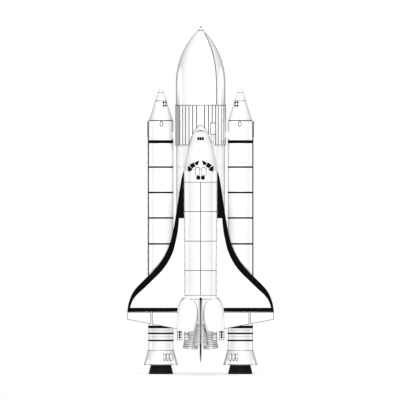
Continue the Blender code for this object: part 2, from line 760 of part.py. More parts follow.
def attach_ring(name, side, centre):
    """The ring round the motor and the struts that hold it to the tank."""
    top, base = AFT_ATTACH_Z + RING_HEIGHT / 2, AFT_ATTACH_Z - RING_HEIGHT / 2
    bore_r = BOOSTER_R + GAP
    ring = [(RING_R, top), (RING_R, base), (bore_r, base), (bore_r, top)]
    attach = add_part(f"booster_aft_attach_{name}", turned_mesh(ring, centre), METAL_LOOK)
    seat = tank_cutter(f"strut_seat_{name}", AFT_TANK_R)
    bore = add_cutter(f"strut_bore_{name}", turned_mesh(
        [(0, top + 1), (bore_r, top + 1), (bore_r, base - 1), (0, base - 1)], centre))
    for place, (y_booster, y_tank) in enumerate(STRUTS):
        strut = add_cutter(f"strut_{name}_{place}", rod_mesh(
            (side * STRUT_BOOSTER_X, y_booster, AFT_ATTACH_Z), (side * STRUT_TANK_X, y_tank, AFT_ATTACH_Z),
            STRUT_R, steps=8))
        cut(strut, seat, bore)
        join(attach, strut)


def skirt_radius(z):
    """Outer radius of the aft skirt's flare."""
    return SKIRT_TOP_R + (SKIRT_BASE_R - SKIRT_TOP_R) * (CASE_BASE_Z - z) / (CASE_BASE_Z - SKIRT_BASE_Z)


def aft_skirt(name, side, centre):
    """The flared skirt with its four hold-down feet and three separation motors."""
    inner_top = SKIRT_TOP_R - SKIRT_TOP_WALL
    flare = [(SKIRT_TOP_R, CASE_BASE_Z), (SKIRT_BASE_R, SKIRT_BASE_Z),
             (SKIRT_BASE_R - SKIRT_WALL, SKIRT_BASE_Z), (inner_top, CASE_BASE_Z - 0.2),
             (inner_top, CASE_BASE_Z)]
    aft = add_part(f"booster_aft_skirt_{name}", turned_mesh(flare, centre), SHELL_LOOK)
    for index, degrees in enumerate(FOOT_ANGLES):
        angle = math.radians(degrees)
        x, y = centre[0] + FOOT_OUT * math.cos(angle), FOOT_OUT * math.sin(angle)
        join(aft, add_cutter(f"foot_{name}_{index}", box_mesh(
            (x - FOOT_HALF, y - FOOT_HALF, SKIRT_BASE_Z),
            (x + FOOT_HALF, y + FOOT_HALF, SKIRT_BASE_Z + FOOT_HEIGHT))))
    for index, offset in enumerate(SKIRT_MOTOR_X):
        ends = []
        for z in SKIRT_MOTOR_Z:
            out = math.sqrt((skirt_radius(z) + SKIRT_MOTOR_PROUD) ** 2 - offset ** 2)
            ends.append((centre[0] - side * offset, -out, z))
        join(aft, add_cutter(f"skirt_motor_{name}_{index}", capsule_mesh(*ends, SKIRT_MOTOR_R)))


# Orbiter fuselage

def body_section(z, half, top, bottom, corner, grow=0.0, arc_steps=12, corner_steps=3, tilt=None):
    """A fuselage frame: an elliptic back, upright sides and a flat belly with round corners."""
    half, top, bottom = half + grow, top + grow, bottom - grow
    spring = min(0.0, top - (top - bottom) * 0.42)
    points = []
    for index in range(arc_steps + 1):
        angle = math.pi * index / arc_steps
        points.append((half * math.cos(angle), spring + (top - spring) * math.sin(angle)))
    for side in (-1, 1):
        centre_x, centre_h = side * (half - corner), bottom + corner
        for index in range(corner_steps + 1):
            turn = math.pi / 2 * index / corner_steps
            angle = math.pi + turn if side < 0 else 1.5 * math.pi + turn
            points.append((centre_x + corner * math.cos(angle), centre_h + corner * math.sin(angle)))
    return [orb(x, h, z if tilt is None else tilt(h)) for x, h in points]


def cabin_loft(grow, fore, aft):
    """The forward fuselage between two heights, grown or shrunk, through the same frames as the shell."""
    stations = [fore] + [row[0] for row in FORWARD_SECTIONS if aft < row[0] < fore] + [aft]
    frames = []
    for z in stations:
        half, top, bottom, corner = (between(FORWARD_SECTIONS, z, column) for column in (1, 2, 3, 4))
        frames.append(body_section(z, half, top, bottom, corner, grow=grow))
    return loft(frames)


def forward_fuselage():
    nose = [body_section(*row) for row in FORWARD_SECTIONS if row[0] >= NOSE_CAP_Z]
    add_part("nose_cap", loft(nose), (GREY, 0.5, 0.0))

    rows = [row for row in FORWARD_SECTIONS if row[0] <= NOSE_CAP_Z]
    frames = [body_section(rows[0][0] - GAP, *rows[0][1:])] + [body_section(*row) for row in rows[1:]]
    shell = add_part("forward_fuselage", loft(frames), SHELL_LOOK)
    cut(shell, add_cutter("cabin_space", cabin_loft(-SHELL, CABIN_FORE_Z, CABIN_AFT_Z)))

    windows = []
    for side in (-1, 1):
        for place, outline in enumerate(FORWARD_WINDOWS):
            windows.append(window_cutter(f"window_{side}_{place}", side, outline, FORWARD_WINDOW_H))
        for label, outline in (("overhead", OVERHEAD_WINDOW), ("aft", AFT_WINDOW)):
            windows.append(window_cutter(f"{label}_{side}", side, outline, OVERHEAD_WINDOW_H))
    cut(shell, *windows)
    crew_hatch(shell)

    pane_low, pane_high = -SHELL - GAP, -SHELL - PANE
    glass = add_part("windshield", cabin_loft(pane_low, 35.1, 31.8), ((0.02, 0.02, 0.03), 0.1, 0.0))
    cut(glass, add_cutter("windshield_inside", cabin_loft(pane_high, 35.12, 31.75)))
    boolean(glass, window_cutter("windshield_band", 1, WINDSHIELD_BAND, WINDSHIELD_H), "INTERSECT")
    over = add_part("overhead_glass", cabin_loft(pane_low, 34.4, 31.25), ((0.55, 0.60, 0.63), 0.1, 0.0))
    cut(over, add_cutter("overhead_inside", cabin_loft(pane_high, 34.45, 31.22)))
    boolean(over, window_cutter("overhead_band", 1, OVERHEAD_BAND, OVERHEAD_H), "INTERSECT")


def window_cutter(name, side, outline, base_h):
    """A prism over a window's outline that runs along Y from over the back down to a height h."""
    return add_cutter(name, prism_mesh(
        [(side * x, z) for x, z in outline], -(REF_Y + WINDOW_TOP_H), -(REF_Y + base_h)))


def crew_hatch(shell):
    """The round side hatch with its hinge, and its hole in the shell."""
    skin = between(FORWARD_SECTIONS, HATCH_Z - HATCH_BARREL_HALF, 1)
    hinge = Vector(orb(-(skin + HATCH_BARREL_R + GAP), HATCH_H - HATCH_R - HATCH_BARREL_R, HATCH_Z))
    centre = orb(0, HATCH_H, HATCH_Z)
    reach = [(x, centre[1], centre[2]) for x in HATCH_CUT_X]
    hatch = add_part("crew_hatch", cabin_loft(0.0, HATCH_FORE_Z, HATCH_AFT_Z), SHELL_LOOK, origin=hinge)
    cut(hatch, add_cutter("hatch_inside", cabin_loft(-SHELL, HATCH_FORE_Z + 0.05, HATCH_AFT_Z - 0.05)))
    boolean(hatch, add_cutter("hatch_plug", rod_mesh(*reach, HATCH_R - HATCH_GAP, steps=24)), "INTERSECT")
    cut(shell, add_cutter("hatch_hole", rod_mesh(*reach, HATCH_R, steps=24)))
    barrel_end = Vector((0, 0, HATCH_BARREL_HALF))
    barrel = add_cutter("hatch_barrel", rod_mesh(
        hinge - barrel_end, hinge + barrel_end, HATCH_BARREL_R, steps=12))
    low = hinge + Vector((-HATCH_BARREL_R / 2, -STRAP_DEPTH, -STRAP_HALF))
    high = hinge + Vector((HATCH_BARREL_R + STRAP_REACH, 0, STRAP_HALF))
    strap = add_cutter("hatch_strap", box_mesh(low, high))
    cut(strap, add_cutter("strap_seat", cabin_loft(GAP, 34.6, 31.8)))
    plate = add_cutter("hatch_plate", box_mesh(
        low, hinge + Vector((HATCH_BARREL_R + STRAP_PLATE_REACH, -STRAP_PLATE_START, STRAP_HALF))))
    join(hatch, barrel, strap, plate)


def deck_box(x, half, low_h, high_h, low_z, high_z):
    return box_mesh(orb(x - half, high_h, low_z), orb(x + half, low_h, high_z))


def cabin_deck():
    """Flight deck floor with its instrument panel and two seats, seen through the windows."""
    deck = add_part("flight_deck", deck_box(0, *DECK_FLOOR), (DARK, 0.7, 0.0))
    join(deck, add_cutter("deck_panel", deck_box(0, *DECK_PANEL)))
    for side in (-1, 1):
        join(deck, add_cutter(f"deck_seat_{side}", deck_box(side * SEAT_X, *SEAT_CUSHION)),
             add_cutter(f"deck_back_{side}", deck_box(side * SEAT_X, *SEAT_BACK)))


def payload_bay():
    """The trough of the mid fuselage and its two doors, hinged along the sills."""
    a = SILL_ANGLE
    outer = [(BODY_R * math.cos(a * i / 2), BODY_R * math.sin(a * i / 2)) for i in (2, 1, 0)]
    corner = []
    for index in range(4):
        angle = -math.pi / 2 * index / 3
        corner.append((BODY_R - BELLY_CORNER_R + BELLY_CORNER_R * math.cos(angle),
                       BELLY_H + BELLY_CORNER_R + BELLY_CORNER_R * math.sin(angle)))
    right = outer + corner
    left = [(-x, h) for x, h in reversed(right)]
    bay = []
    for index in range(17):
        angle = math.pi - a + (math.pi + 2 * a) * index / 16
        bay.append((BAY_R * math.cos(angle), BAY_R * math.sin(angle)))
    outline = right + left + bay
    fore, aft = BAY_FORE_Z, BAY_AFT_Z
    add_part("mid_fuselage", loft([[orb(x, h, z) for x, h in outline] for z in (fore, aft)]), SHELL_LOOK)

    end = MOVING_GAP
    top_angle = math.pi / 2 - MOVING_GAP / BODY_R
    seat = GAP / BODY_R
    for name, side in (("left", -1), ("right", 1)):
        loop = []
        for radius, angles in ((BODY_R, range(13)), (BODY_R - DOOR_THICKNESS, reversed(range(13)))):
            for index in angles:
                angle = a + seat + (top_angle - a - seat) * index / 12
                loop.append((side * radius * math.cos(angle), radius * math.sin(angle)))
        hinge = orb(side * (BODY_R + DOOR_HINGE_OUT) * math.cos(a),
                    (BODY_R + DOOR_HINGE_OUT) * math.sin(a), (fore + aft) / 2)
        add_part(f"bay_door_{name}", loft([[orb(x, h, z) for x, h in loop] for z in (fore - end, aft + end)]),
                 SHELL_LOOK, origin=hinge)


def base_z(h):
    """The slanted rear face of the fuselage."""
    return BASE_Z + BASE_SLOPE * (h - BASE_REF_H)


def aft_body(grow, reach=None):
    """The rear fuselage, or with a reach the cutter that runs on down to that height z."""
    def rear(h):
        return base_z(h) if reach is None else reach

    front = body_section(BAY_AFT_Z - GAP + grow, BODY_R, BODY_R, BELLY_H, BELLY_CORNER_R, grow=grow)
    middle = body_section(
        AFT_MIDDLE_Z, BODY_R, AFT_MIDDLE_TOP_H, BELLY_H, BELLY_CORNER_R, grow=grow)
    back = body_section(0, BODY_R, AFT_REAR_TOP_H, BELLY_H, BELLY_CORNER_R, grow=grow, tilt=rear)
    return loft([front, middle, back])


def aft_fuselage():
    body = add_part("aft_fuselage", aft_body(0.0), SHELL_LOOK)
    front = BAY_AFT_Z + BULKHEAD_DEPTH
    join(body, add_cutter("bay_bulkhead", rod_mesh(
        orb(0, 0, BAY_AFT_Z - BULKHEAD_DEPTH), orb(0, 0, front), BULKHEAD_R, steps=ROUND_STEPS)))
    z, h = FLAP_HINGE
    half = FLAP_HALF_WIDTH + NOTCH_SIDE
    notch = add_cutter("flap_notch", box_mesh(
        orb(-half, h + FLAP_R + NOTCH_TOP, z - NOTCH_REACH[1]),
        orb(half, h - FLAP_R - NOTCH_REACH[0], z + FLAP_R + GAP)))
    cut(body, notch)
    for name, x, height, depth, pitch, cant in ENGINES:
        pivot = Vector(orb(x, height, depth))
        cut(body, add_cutter(f"engine_pocket_{name}", ball_mesh(pivot, DOME_R + POCKET_GAP, 10)))
        along = engine_turn(pitch, cant) @ Vector((0, 0, 1))
        join(body, add_cutter(f"gimbal_post_{name}", rod_mesh(
            pivot + along * (GIMBAL_R + GAP), pivot + along * (DOME_R + GIMBAL_POST_REACH),
            *GIMBAL_POST_R, steps=12)))

    points = []
    for index in range(9):
        angle = math.pi / 2 - math.pi * index / 8
        points.append((z + FLAP_R * math.cos(angle), h + FLAP_R * math.sin(angle)))
    points += [(FLAP_END_Z, h - FLAP_R + 0.02), (FLAP_END_Z, h - FLAP_R + 0.02 + FLAP_EDGE)]
    flap = [[orb(x, height, depth) for depth, height in points] for x in (-FLAP_HALF_WIDTH, FLAP_HALF_WIDTH)]
    add_part("body_flap", loft(flap), SHELL_LOOK, origin=orb(0, h, z))


# Wings

def wing_base(x):
    return WING_BASE_H + (x - BODY_R) * DIHEDRAL


def hinge_radius(x):
    return HINGE_R_ROOT + (HINGE_R_TIP - HINGE_R_ROOT) * (x - BODY_R) / (WING_TIP_X - BODY_R)


def leading_z(x):
    """Height z of the leading edge at a place along the span."""
    for inner, outer in zip(WING_PLAN, WING_PLAN[1:]):
        if x <= outer[1]:
            t = max(0.0, (x - inner[1]) / (outer[1] - inner[1]))
            return inner[0] + t * (outer[0] - inner[0])
    return WING_PLAN[-1][0]


def trailing_z(x):
    return TRAILING_EDGE_ROOT[1] + TRAILING_EDGE_SLOPE * (x - TRAILING_EDGE_ROOT[0])


def wing_skin(x, z):
    """Lower and upper h of the wing at a place: round in front, and twice the hinge radius at the hinge."""
    front = leading_z(x)
    share = min(1.0, max(0.0, (front - z) / max(0.5, front - HINGE_Z)))
    radius = hinge_radius(x)
    thick = min(WING_T_ROOT, WING_T_RATIO * (front - trailing_z(x)))
    depth = 2 * radius * share + 4 * max(0.0, thick - 0.5 * radius) * (math.sqrt(share) - share)
    lift = 0.28 * thick * (1 - min(1.0, share / 0.12)) ** 2
    low = wing_base(x) + lift
    return low, low + max(depth, 0.02)


def wing_row(side, z, inner, outer, steps, end=None):
    """A loop across the wing at a height z: the upper skin outwards, the lower skin back."""
    upper, lower = [], []
    for index in range(steps + 1):
        x = inner + (outer - inner) * (1 - (1 - index / steps) ** 1.5)
        low, high = wing_skin(x, z)
        place = z if end is None else end(x)
        upper.append(orb(side * x, high, place))
        lower.append(orb(side * x, low, place))
    return upper + lower[::-1]


def wing(name, side):
    root = BODY_R + GAP
    body, strip = [], []
    for z, edge, inner in WING_PLAN:
        if z < BAND_Z:
            break
        place = max(z, BAND_Z + GAP)
        strip.append(wing_row(side, place, inner, edge, 4))
        if inner > root + 0.3:
            if not body:
                tip_z = z + GLOVE_STEP
                body.append(wing_row(side, tip_z, root, between(WING_PLAN, tip_z, 2) - GAP, 6))
            body.append(wing_row(side, place, root, inner - GAP, 6))
    add_part(f"wing_{name}", loft(body), SHELL_LOOK)
    add_part(f"leading_edge_{name}", loft(strip), BLACK_LOOK)

    def rear(x):
        return HINGE_Z + hinge_radius(x) + MOVING_GAP

    outer = between(WING_PLAN, BAND_Z, 1)
    last = between(WING_PLAN, HINGE_Z, 1)
    band = [wing_row(side, BAND_Z, root, outer, 6), wing_row(side, HINGE_Z, root, last, 6, end=rear)]
    panel = add_part(f"hinge_panel_{name}", loft(band), BLACK_LOOK)
    for index, x in enumerate(HINGE_LUG_X):
        near = x - HINGE_LUG_HALF
        middle = wing_base(x) + hinge_radius(x)
        low, high = sorted((side * near, side * (x + HINGE_LUG_HALF)))
        join(panel, add_cutter(f"hinge_lug_{name}_{index}", box_mesh(
            orb(low, middle + HINGE_LUG_HALF, HINGE_Z + hinge_radius(near) + GAP),
            orb(high, middle - HINGE_LUG_HALF, HINGE_Z + hinge_radius(x) + 0.10))))

    for label, (inner, outer) in zip(("inner", "outer"), ELEVON_X):
        sections = []
        for x in (inner, outer):
            radius = hinge_radius(x)
            middle = wing_base(x) + radius
            loop = []
            for index in range(9):
                angle = math.pi / 2 - math.pi * index / 8
                loop.append((HINGE_Z + radius * math.cos(angle), middle + radius * math.sin(angle)))
            tip = trailing_z(x)
            loop += [(tip, middle - radius * 0.35), (tip, middle - radius * 0.35 + 0.06)]
            sections.append([orb(side * x, h, z) for z, h in loop])
        centre = (inner + outer) / 2
        add_part(f"elevon_{label}_{name}", loft(sections), SHELL_LOOK,
                 origin=orb(side * centre, wing_base(centre) + hinge_radius(centre), HINGE_Z))


# Fin and rudder

def on_line(line, h):
    """Reading of z along a straight edge given by two points of h and z."""
    (h0, z0), (h1, z1) = line
    return z0 + (z1 - z0) * (h - h0) / (h1 - h0)


HINGE_LEAN = math.cos(math.atan2(FIN_HINGE[0][1] - FIN_HINGE[1][1], FIN_HINGE[1][0] - FIN_HINGE[0][0]))


def fin_half(h):
    """Half thickness of the fin at its hinge line."""
    return 0.20 - 0.08 * (h - FIN_HINGE[0][0]) / (FIN_TIP_H - FIN_HINGE[0][0])


def fin():
    stations = list(FIN_ROOT_STATIONS)
    for h in (RUDDER_BASE_H - 0.06, FIN_MIDDLE_H, FIN_TIP_H):
        stations.append((h, fin_half(h), on_line(FIN_HINGE, h) + (POST_R + GAP) / HINGE_LEAN))
    sections = []
    for h, half, back in stations:
        front = min(FIN_FRONT_Z, on_line(FIN_LEADING, h))
        loop = [(half * width, back + (front - back) * share) for share, width in FIN_PROFILE]
        full = loop + [(-x, z) for x, z in reversed(loop)]
        sections.append([orb(x, h, z) for x, z in full])
    made = add_part("fin", loft(sections), SHELL_LOOK)
    cut(made, add_cutter("fin_seat", aft_body(GAP, SEAT_REACH)))

    low, high = (Vector(orb(0, h, on_line(FIN_HINGE, h)))
                 for h in (RUDDER_BASE_H + POST_INSET, RUDDER_TOP_H - POST_INSET))
    centre = (low + high) / 2
    add_part("rudder_post", rod_mesh(low, high, POST_R, steps=24), METAL_LOOK, origin=centre)

    for name, side in (("left", -1), ("right", 1)):
        sections = []
        for h in (RUDDER_BASE_H, RUDDER_TOP_H):
            front = on_line(FIN_HINGE, h) - (POST_R + GAP) / HINGE_LEAN
            back = on_line(FIN_TRAILING, h)
            inner = side * MOVING_GAP / 2
            outer = side * fin_half(h)
            tip = side * (MOVING_GAP / 2 + RUDDER_EDGE)
            sections.append([orb(inner, h, front), orb(outer * 0.45, h, front),
                             orb(outer, h, front - RUDDER_BLEND), orb(tip, h, back), orb(inner, h, back)])
        add_part(f"rudder_{name}", loft(sections), BLACK_LOOK, origin=centre)


# Rear pods and engines

def pod(name, side):
    sections = []
    for z, inner, outer, low, high in POD_SECTIONS:
        middle_x, middle_h = (inner + outer) / 2, (low + high) / 2
        loop = []
        for index in range(POD_POINTS):
            angle = math.tau * index / POD_POINTS
            c, s = math.cos(angle), math.sin(angle)
            loop.append((middle_x + (outer - inner) / 2 * math.copysign(abs(c) ** POD_POWER, c),
                         middle_h + (high - low) / 2 * math.copysign(abs(s) ** POD_POWER, s)))
        sections.append([orb(side * x, h, z) for x, h in loop])
    made = add_part(f"rear_pod_{name}", loft(sections), SHELL_LOOK)
    cut(made, add_cutter(f"pod_seat_{name}", aft_body(GAP, SEAT_REACH)))

    x0, x1, h0, h1, z0, z1 = THRUSTER_BOX
    low, high = sorted((side * x0, side * x1))
    join(made, add_cutter(f"thruster_box_{name}", box_mesh(
        orb(low, h0, z0), orb(high, h1, z1 + THRUSTER_BOX_JOIN))))

    x, h, top, bottom, throat, exit_r = POD_ENGINE
    outer = [(throat, top - 0.45), (throat + 0.16, top - 0.85), (exit_r, bottom)]
    inner = [(radius - POD_BELL_WALL, z) for radius, z in reversed(outer)]
    bell = [(0, top - GAP), (throat + 0.18, top - GAP), (throat + 0.18, top - 0.30)]
    bell += outer + inner + [(0, top - 0.40)]
    place = orb(side * x, h, 0)
    add_part(f"pod_engine_{name}", turned_mesh(bell, place[:2], steps=16), (DARK, 0.5, 0.6))


def engine_turn(pitch, cant):
    """Turns an engine that points down by its pitch towards the back and its cant outwards."""
    return Matrix.Rotation(math.radians(-cant), 4, "Y") @ Matrix.Rotation(math.radians(-pitch), 4, "X")


def main_engine(name, x, h, z, pitch, cant):
    """A rocket engine on its gimbal: a round heat shield about the pivot and a bell with a hollow inside."""
    ball = [(GIMBAL_R * math.sin(angle), GIMBAL_R * math.cos(angle))
            for angle in (0, math.radians(30), math.radians(60))]
    for index in range(6):
        angle = math.radians(20 - 70 * index / 5)
        ball.append((DOME_R * math.cos(angle), DOME_R * math.sin(angle)))
    ball.append(NECK)
    inner = [(radius - BELL_WALL, drop) for radius, drop in reversed(BELL_PROFILE)]
    mesh = turned_mesh(ball + list(BELL_PROFILE) + inner + [(0, BELL_THROAT)], steps=24)
    pivot = orb(x, h, z)
    mesh.transform(engine_turn(pitch, cant))
    mesh.transform(Matrix.Translation(pivot))
    add_part(f"main_engine_{name}", mesh, (GREY, 0.4, 0.7), origin=pivot)


def build():
    tank()
    tank_lines()
    tank_links()
    for name, side in (("left", -1), ("right", 1)):
        booster(name, side)
        wing(name, side)
        pod(name, side)
    forward_fuselage()
    cabin_deck()
    payload_bay()
    aft_fuselage()
    fin()
    for engine in ENGINES:
        main_engine(*engine)


build()
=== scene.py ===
"""Looks of the space shuttle launch stack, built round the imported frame.

Lengths are those of the full-size stack, in metres, until TO_WORLD brings a finished mesh to
the model's half size. The stack's own frame has the external tank's axis at x = 0, y = 0 and
the booster nozzles standing on z = 0. The orbiter's heights h run from its reference line
towards its back, which faces -Y.
"""
import json
import math

import bmesh
import bpy
from mathutils import Matrix, Vector


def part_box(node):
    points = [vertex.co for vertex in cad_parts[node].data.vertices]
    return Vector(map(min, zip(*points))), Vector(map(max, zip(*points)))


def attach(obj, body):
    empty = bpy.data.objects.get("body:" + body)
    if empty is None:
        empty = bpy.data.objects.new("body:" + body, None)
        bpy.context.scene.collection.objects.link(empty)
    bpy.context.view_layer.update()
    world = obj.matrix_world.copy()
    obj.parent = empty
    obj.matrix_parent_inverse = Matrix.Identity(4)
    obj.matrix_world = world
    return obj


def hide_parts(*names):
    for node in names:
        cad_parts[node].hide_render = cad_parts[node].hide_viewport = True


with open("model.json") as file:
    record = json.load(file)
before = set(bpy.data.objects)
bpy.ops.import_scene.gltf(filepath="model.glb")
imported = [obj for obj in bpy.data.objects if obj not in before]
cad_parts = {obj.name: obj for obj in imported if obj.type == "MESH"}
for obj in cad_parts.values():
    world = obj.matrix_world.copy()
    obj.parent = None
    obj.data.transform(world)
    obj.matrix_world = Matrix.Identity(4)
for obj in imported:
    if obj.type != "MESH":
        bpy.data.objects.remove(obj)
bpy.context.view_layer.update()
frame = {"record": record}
RECORD = frame["record"]
BODY_OF = {node: body for body, nodes in RECORD["behaviour"]["bodies"].items() for node in nodes}

# From full-size metres to the model
SCALE = 0.5
TANK_LOW, TANK_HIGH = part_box("tank_aft")
TANK_Y = (TANK_LOW[1] + TANK_HIGH[1]) / 2
TO_WORLD = Matrix.Translation((0, TANK_Y, 0)) @ Matrix.Scale(SCALE, 4)
GAP = 0.0006
MOVING_GAP = 0.012
SIDES = (("left", -1), ("right", 1))

# External tank
TANK_STEPS = 160
TANK_R = 3.99
TANK_TIP_Z = 56.14
SPIKE_BASE_Z = 55.40
SPIKE_BASE_R = 0.50
SPIKE_BALL_R = 0.14
OGIVE_SHOULDER_Z = 46.90
INTERTANK_TOP_Z = 43.38
INTERTANK_BASE_Z = 36.90
INTERTANK_R = 4.11
FORWARD_JOINT = (43.62, 43.42)
AFT_JOINT = (36.70, 36.50)
JOINT_PROUD = 0.03
JOINT_SLANT = 0.02
RIB_PITCH = math.radians(9.0)
RIB_GROOVE = 0.15
RIB_DEPTH = 0.09
# Azimuth span of the close-set ribs on the left shoulder, whose grey grooves are painted shade of that side
DENSE_SHADED_RIBS = (math.radians(-91.0), math.radians(-58.0))
AFT_TANK_R = 3.93
AFT_DOME_TOP_Z = 12.30
AFT_DOME_HEIGHT = 3.00
TRAY_AZIMUTH = math.radians(38.0)
TRAY_TOP_Z = 55.0
TRAY_HALF = 0.16
TRAY_PROUD = 0.16
TRAY_SUNK = 0.05
TRAY_CLAMPS_Z = (53.0, 44.2)
FAIRING_LOW = (1.54, -4.75, 38.60)
FAIRING_HIGH = (2.46, -3.45, 40.50)
FEEDLINE_X = 1.93
FEEDLINE_R = 0.22
FEEDLINE_STANDOFF = 4.45
FEEDLINE_BRACKETS_Z = (34.2, 29.2, 24.2, 19.2, 14.2)
FEEDLINE_COLLARS_Z = (37.4, 31.7, 26.7, 21.7, 16.7, 12.6)
HYDROGEN_PIPE_Y = -4.10
HYDROGEN_PIPE_Z = 10.60
HYDROGEN_END_Y = -2.6
UMBILICAL_Z = 11.35
UMBILICAL_BACK_Y = -4.80
UMBILICAL_HALF = 0.36
BIPOD_Z = 35.95
# On the right: where a leg of the bipod ends, and both ends of its foot on the tank
BIPOD_LEG_END = (1.45, -3.55, 35.3)
BIPOD_FOOT = ((1.42, -3.72, 35.32), (1.45, -3.58, 35.3))

# Solid rocket boosters
BOOSTER_X = 6.40
BOOSTER_R = 2.00
CAP_PROFILE = (
    # radius, height z, look of the strip below
    (0.0, 46.08, "paint"),
    (0.10, 46.06, "paint"),
    (0.20, 46.00, "paint"),
    (0.29, 45.89, "paint"),
    (0.36, 45.74, "paint"),
    (0.44, 45.50, "paint"),
    (0.445, 45.46, "seam_grey"),
    (0.475, 45.37, "paint"),
    (0.62, 44.95, "paint"),
    (0.89, 44.12, "seam_grey"),
)
CAP_LINE_Z = 44.00
CAP_LINE_R = 0.93
FRUSTUM_BASE_Z = 40.85
FRUSTUM_BASE_R = 1.95
FRUSTUM_PORT_X = (0.42, 0.80)
FRUSTUM_PORT_Z = (43.78, 43.30)
FORWARD_SKIRT_BASE_Z = 37.75
# Half width, low z and high z of the thrust fitting
THRUST_FITTING = (0.35, 38.1, 39.0)
# Distance towards the tank, middle z, half width and half height of the oval plate
OVAL_PLATE = (0.09, 40.36, 0.17, 0.36)
CASE_BASE_Z = 3.87
SKIRT_TOP_R = 2.10
SKIRT_BASE_R = 2.74
SKIRT_BASE_Z = 1.48
SKIRT_LIP_Z = 1.62
SKIRT_WALL = 0.14
NOZZLE_TOP_R = 1.05
NOZZLE_EXIT_R = 2.00
NOZZLE_WALL = 0.12
NOZZLE_HOOP = ((-0.02, 0.06), (0.05, 0.05), (0.07, -0.05), (0.0, -0.06))
FEET_R = 2.62
FEET_AZIMUTHS = (37, 143, 217, 323)
SKIRT_MOTOR_X = (0.57, 1.07, 1.57)
SKIRT_MOTOR_Z = (3.08, 2.46)
SKIRT_MOTOR_R = 0.20
SKIRT_MOTOR_PROUD = 0.06
# How much wider the sunk dark capsule is that rings each motor with painted shade
SKIRT_MOTOR_SHADE_RIM = 0.06
SKIRT_MOTOR_SINK = 0.14
AFT_ATTACH_Z = 12.45
RING_R = 2.20
RING_HEIGHT = 0.60
# y of each strut's ends, at the booster and at the tank
ATTACH_STRUTS_Y = ((-1.55, -1.80), (1.55, 1.80), (0.9, -0.2))
TUNNEL_PROUD = 0.13
TUNNEL_HALF = 0.13
TUNNEL_TOP_Z = 40.80
TUNNEL_HEAD_Z = 38.20
TUNNEL_HEAD_HALF = 0.30
TUNNEL_HEAD_PROUD = 0.07
TUNNEL_CLAMPS_Z = (14.0, 37.0)
TUNNEL_CLAMP_HALF = 0.17
CASE_BANDS = (
    # middle z, height, how far proud, look
    (37.47, 0.50, 0.012, "band_black"),
    (33.38, 0.26, 0.020, "band_black"),
    (29.28, 0.26, 0.020, "band_black"),
    (25.18, 0.26, 0.020, "band_black"),
    (21.00, 0.26, 0.020, "band_black"),
    (7.60, 0.42, 0.060, "band_black"),
    (7.10, 0.05, 0.010, "seam_pale"),
    (6.56, 0.26, 0.060, "band_black"),
    (6.02, 0.05, 0.010, "seam_pale"),
    (5.42, 0.26, 0.060, "band_black"),
)

# Frame under the orbiter's rear: half length of its beam, and place and size of the hubs on it
SUPPORT_HALF = 2.35
HUB_X = 2.20
HUB_R = 0.21
HUB_LENGTH = 0.26
# On the right: end and radius of each strut from the hub to the tank
SUPPORT_STRUTS = (((2.77, -2.5, 14.7), 0.16), ((2.80, -2.6, AFT_ATTACH_Z + 0.13), 0.12),
                  ((0.73, -3.75, 12.72), 0.10))

# Orbiter reference lines
REF_Y = 8.55
BELLY_H = -3.05
BELLY_Y = -(REF_Y + BELLY_H) + GAP
BODY_R = 2.66
BAY_R = 2.29
DOOR_THICKNESS = 0.20
SILL_ANGLE = math.radians(9.0)
DOOR_HINGE_OUT = 0.04
BAY_FORE_Z = 30.96
BAY_AFT_Z = 12.72
BULKHEAD_R = 2.25
BULKHEAD_DEPTH = 0.10
BELLY_CORNER_R = 0.12
SHELL = 0.12
CABIN_FORE_Z = 36.9
CABIN_AFT_Z = 31.20
NOSE_CAP_Z = 39.05
NOSE_ARC_Z = 39.22
NOSE_ARC_FALL = 0.50
NOSE_ARC_HALF = 0.11
NOSE_ARC_REACH = 0.80
NOSE_TIP_H = -1.54
NOSE_PORT_X = (-0.36, 0.0, 0.36)
NOSE_PORT_Z = (38.04, 37.80)
# Height z and h of the ports on each side of the nose
SIDE_PORTS = ((38.1, -0.95), (37.7, -1.0), (37.3, -1.05))
DOOR_SEAMS = (26.22, 21.46, 16.74)
SEAM = 0.10
RADIATORS = 4
RADIATOR_MARGIN_Z = 0.25
RADIATOR_MARGIN_ANGLE = 0.10
DOOR_BARREL_HALF = 0.16
DOOR_BARREL_R = 0.035
DOOR_BARREL_MARGIN = 0.7
# Rear fuselage: the frames down to the middle one, and the tops of the middle and the rear frame
AFT_MIDDLE_Z = 9.6
AFT_FRAMES_Z = (12.20, 12.10, 11.2, 10.4, AFT_MIDDLE_Z)
AFT_MIDDLE_TOP_H = 2.52
AFT_REAR_TOP_H = 2.36
AFT_TOP_SLOPE = 0.128

# Wing
WING_BASE_H = -3.00
DIHEDRAL = math.tan(math.radians(3.5))
WING_T_ROOT = 1.00
WING_T_RATIO = 0.085
# Lift of the wing's underside at its leading edge, and the share of the depth that it fades over
NOSE_LIFT = 0.28
NOSE_SHARE = 0.12
HINGE_Z = 9.92
HINGE_R_ROOT = 0.25
HINGE_R_TIP = 0.12
WING_TIP_X = 11.80
BAND_Z = 10.74
GLOVE_Z = 25.50
GLOVE_STEP = 0.19
GLOVE_DARK_Z = 25.08
ELEVON_X = ((2.80, 7.80), (7.98, 11.78))
HINGE_LUG_X = (3.60, 7.00, 8.80, 10.96)
HINGE_LUG_HALF = 0.06
TRAILING_EDGE_ROOT = (3.86, 7.33)
TRAILING_EDGE_SLOPE = 0.191
ELEVON_LINE = 0.09
ELEVON_EDGE = 0.06

# Fin, rudder and body flap
FIN_ROOT_H = 2.30
FIN_FRONT_Z = 12.45
FIN_TIP_H = 10.57
FIN_LEADING = ((2.90, 12.30), (10.57, 4.87))
FIN_HINGE = ((4.30, 7.11), (10.57, 3.13))
FIN_TRAILING = ((4.30, 4.76), (10.57, 2.07))
FIN_FOOT = ((2.30, 8.55), (3.25, 8.0))
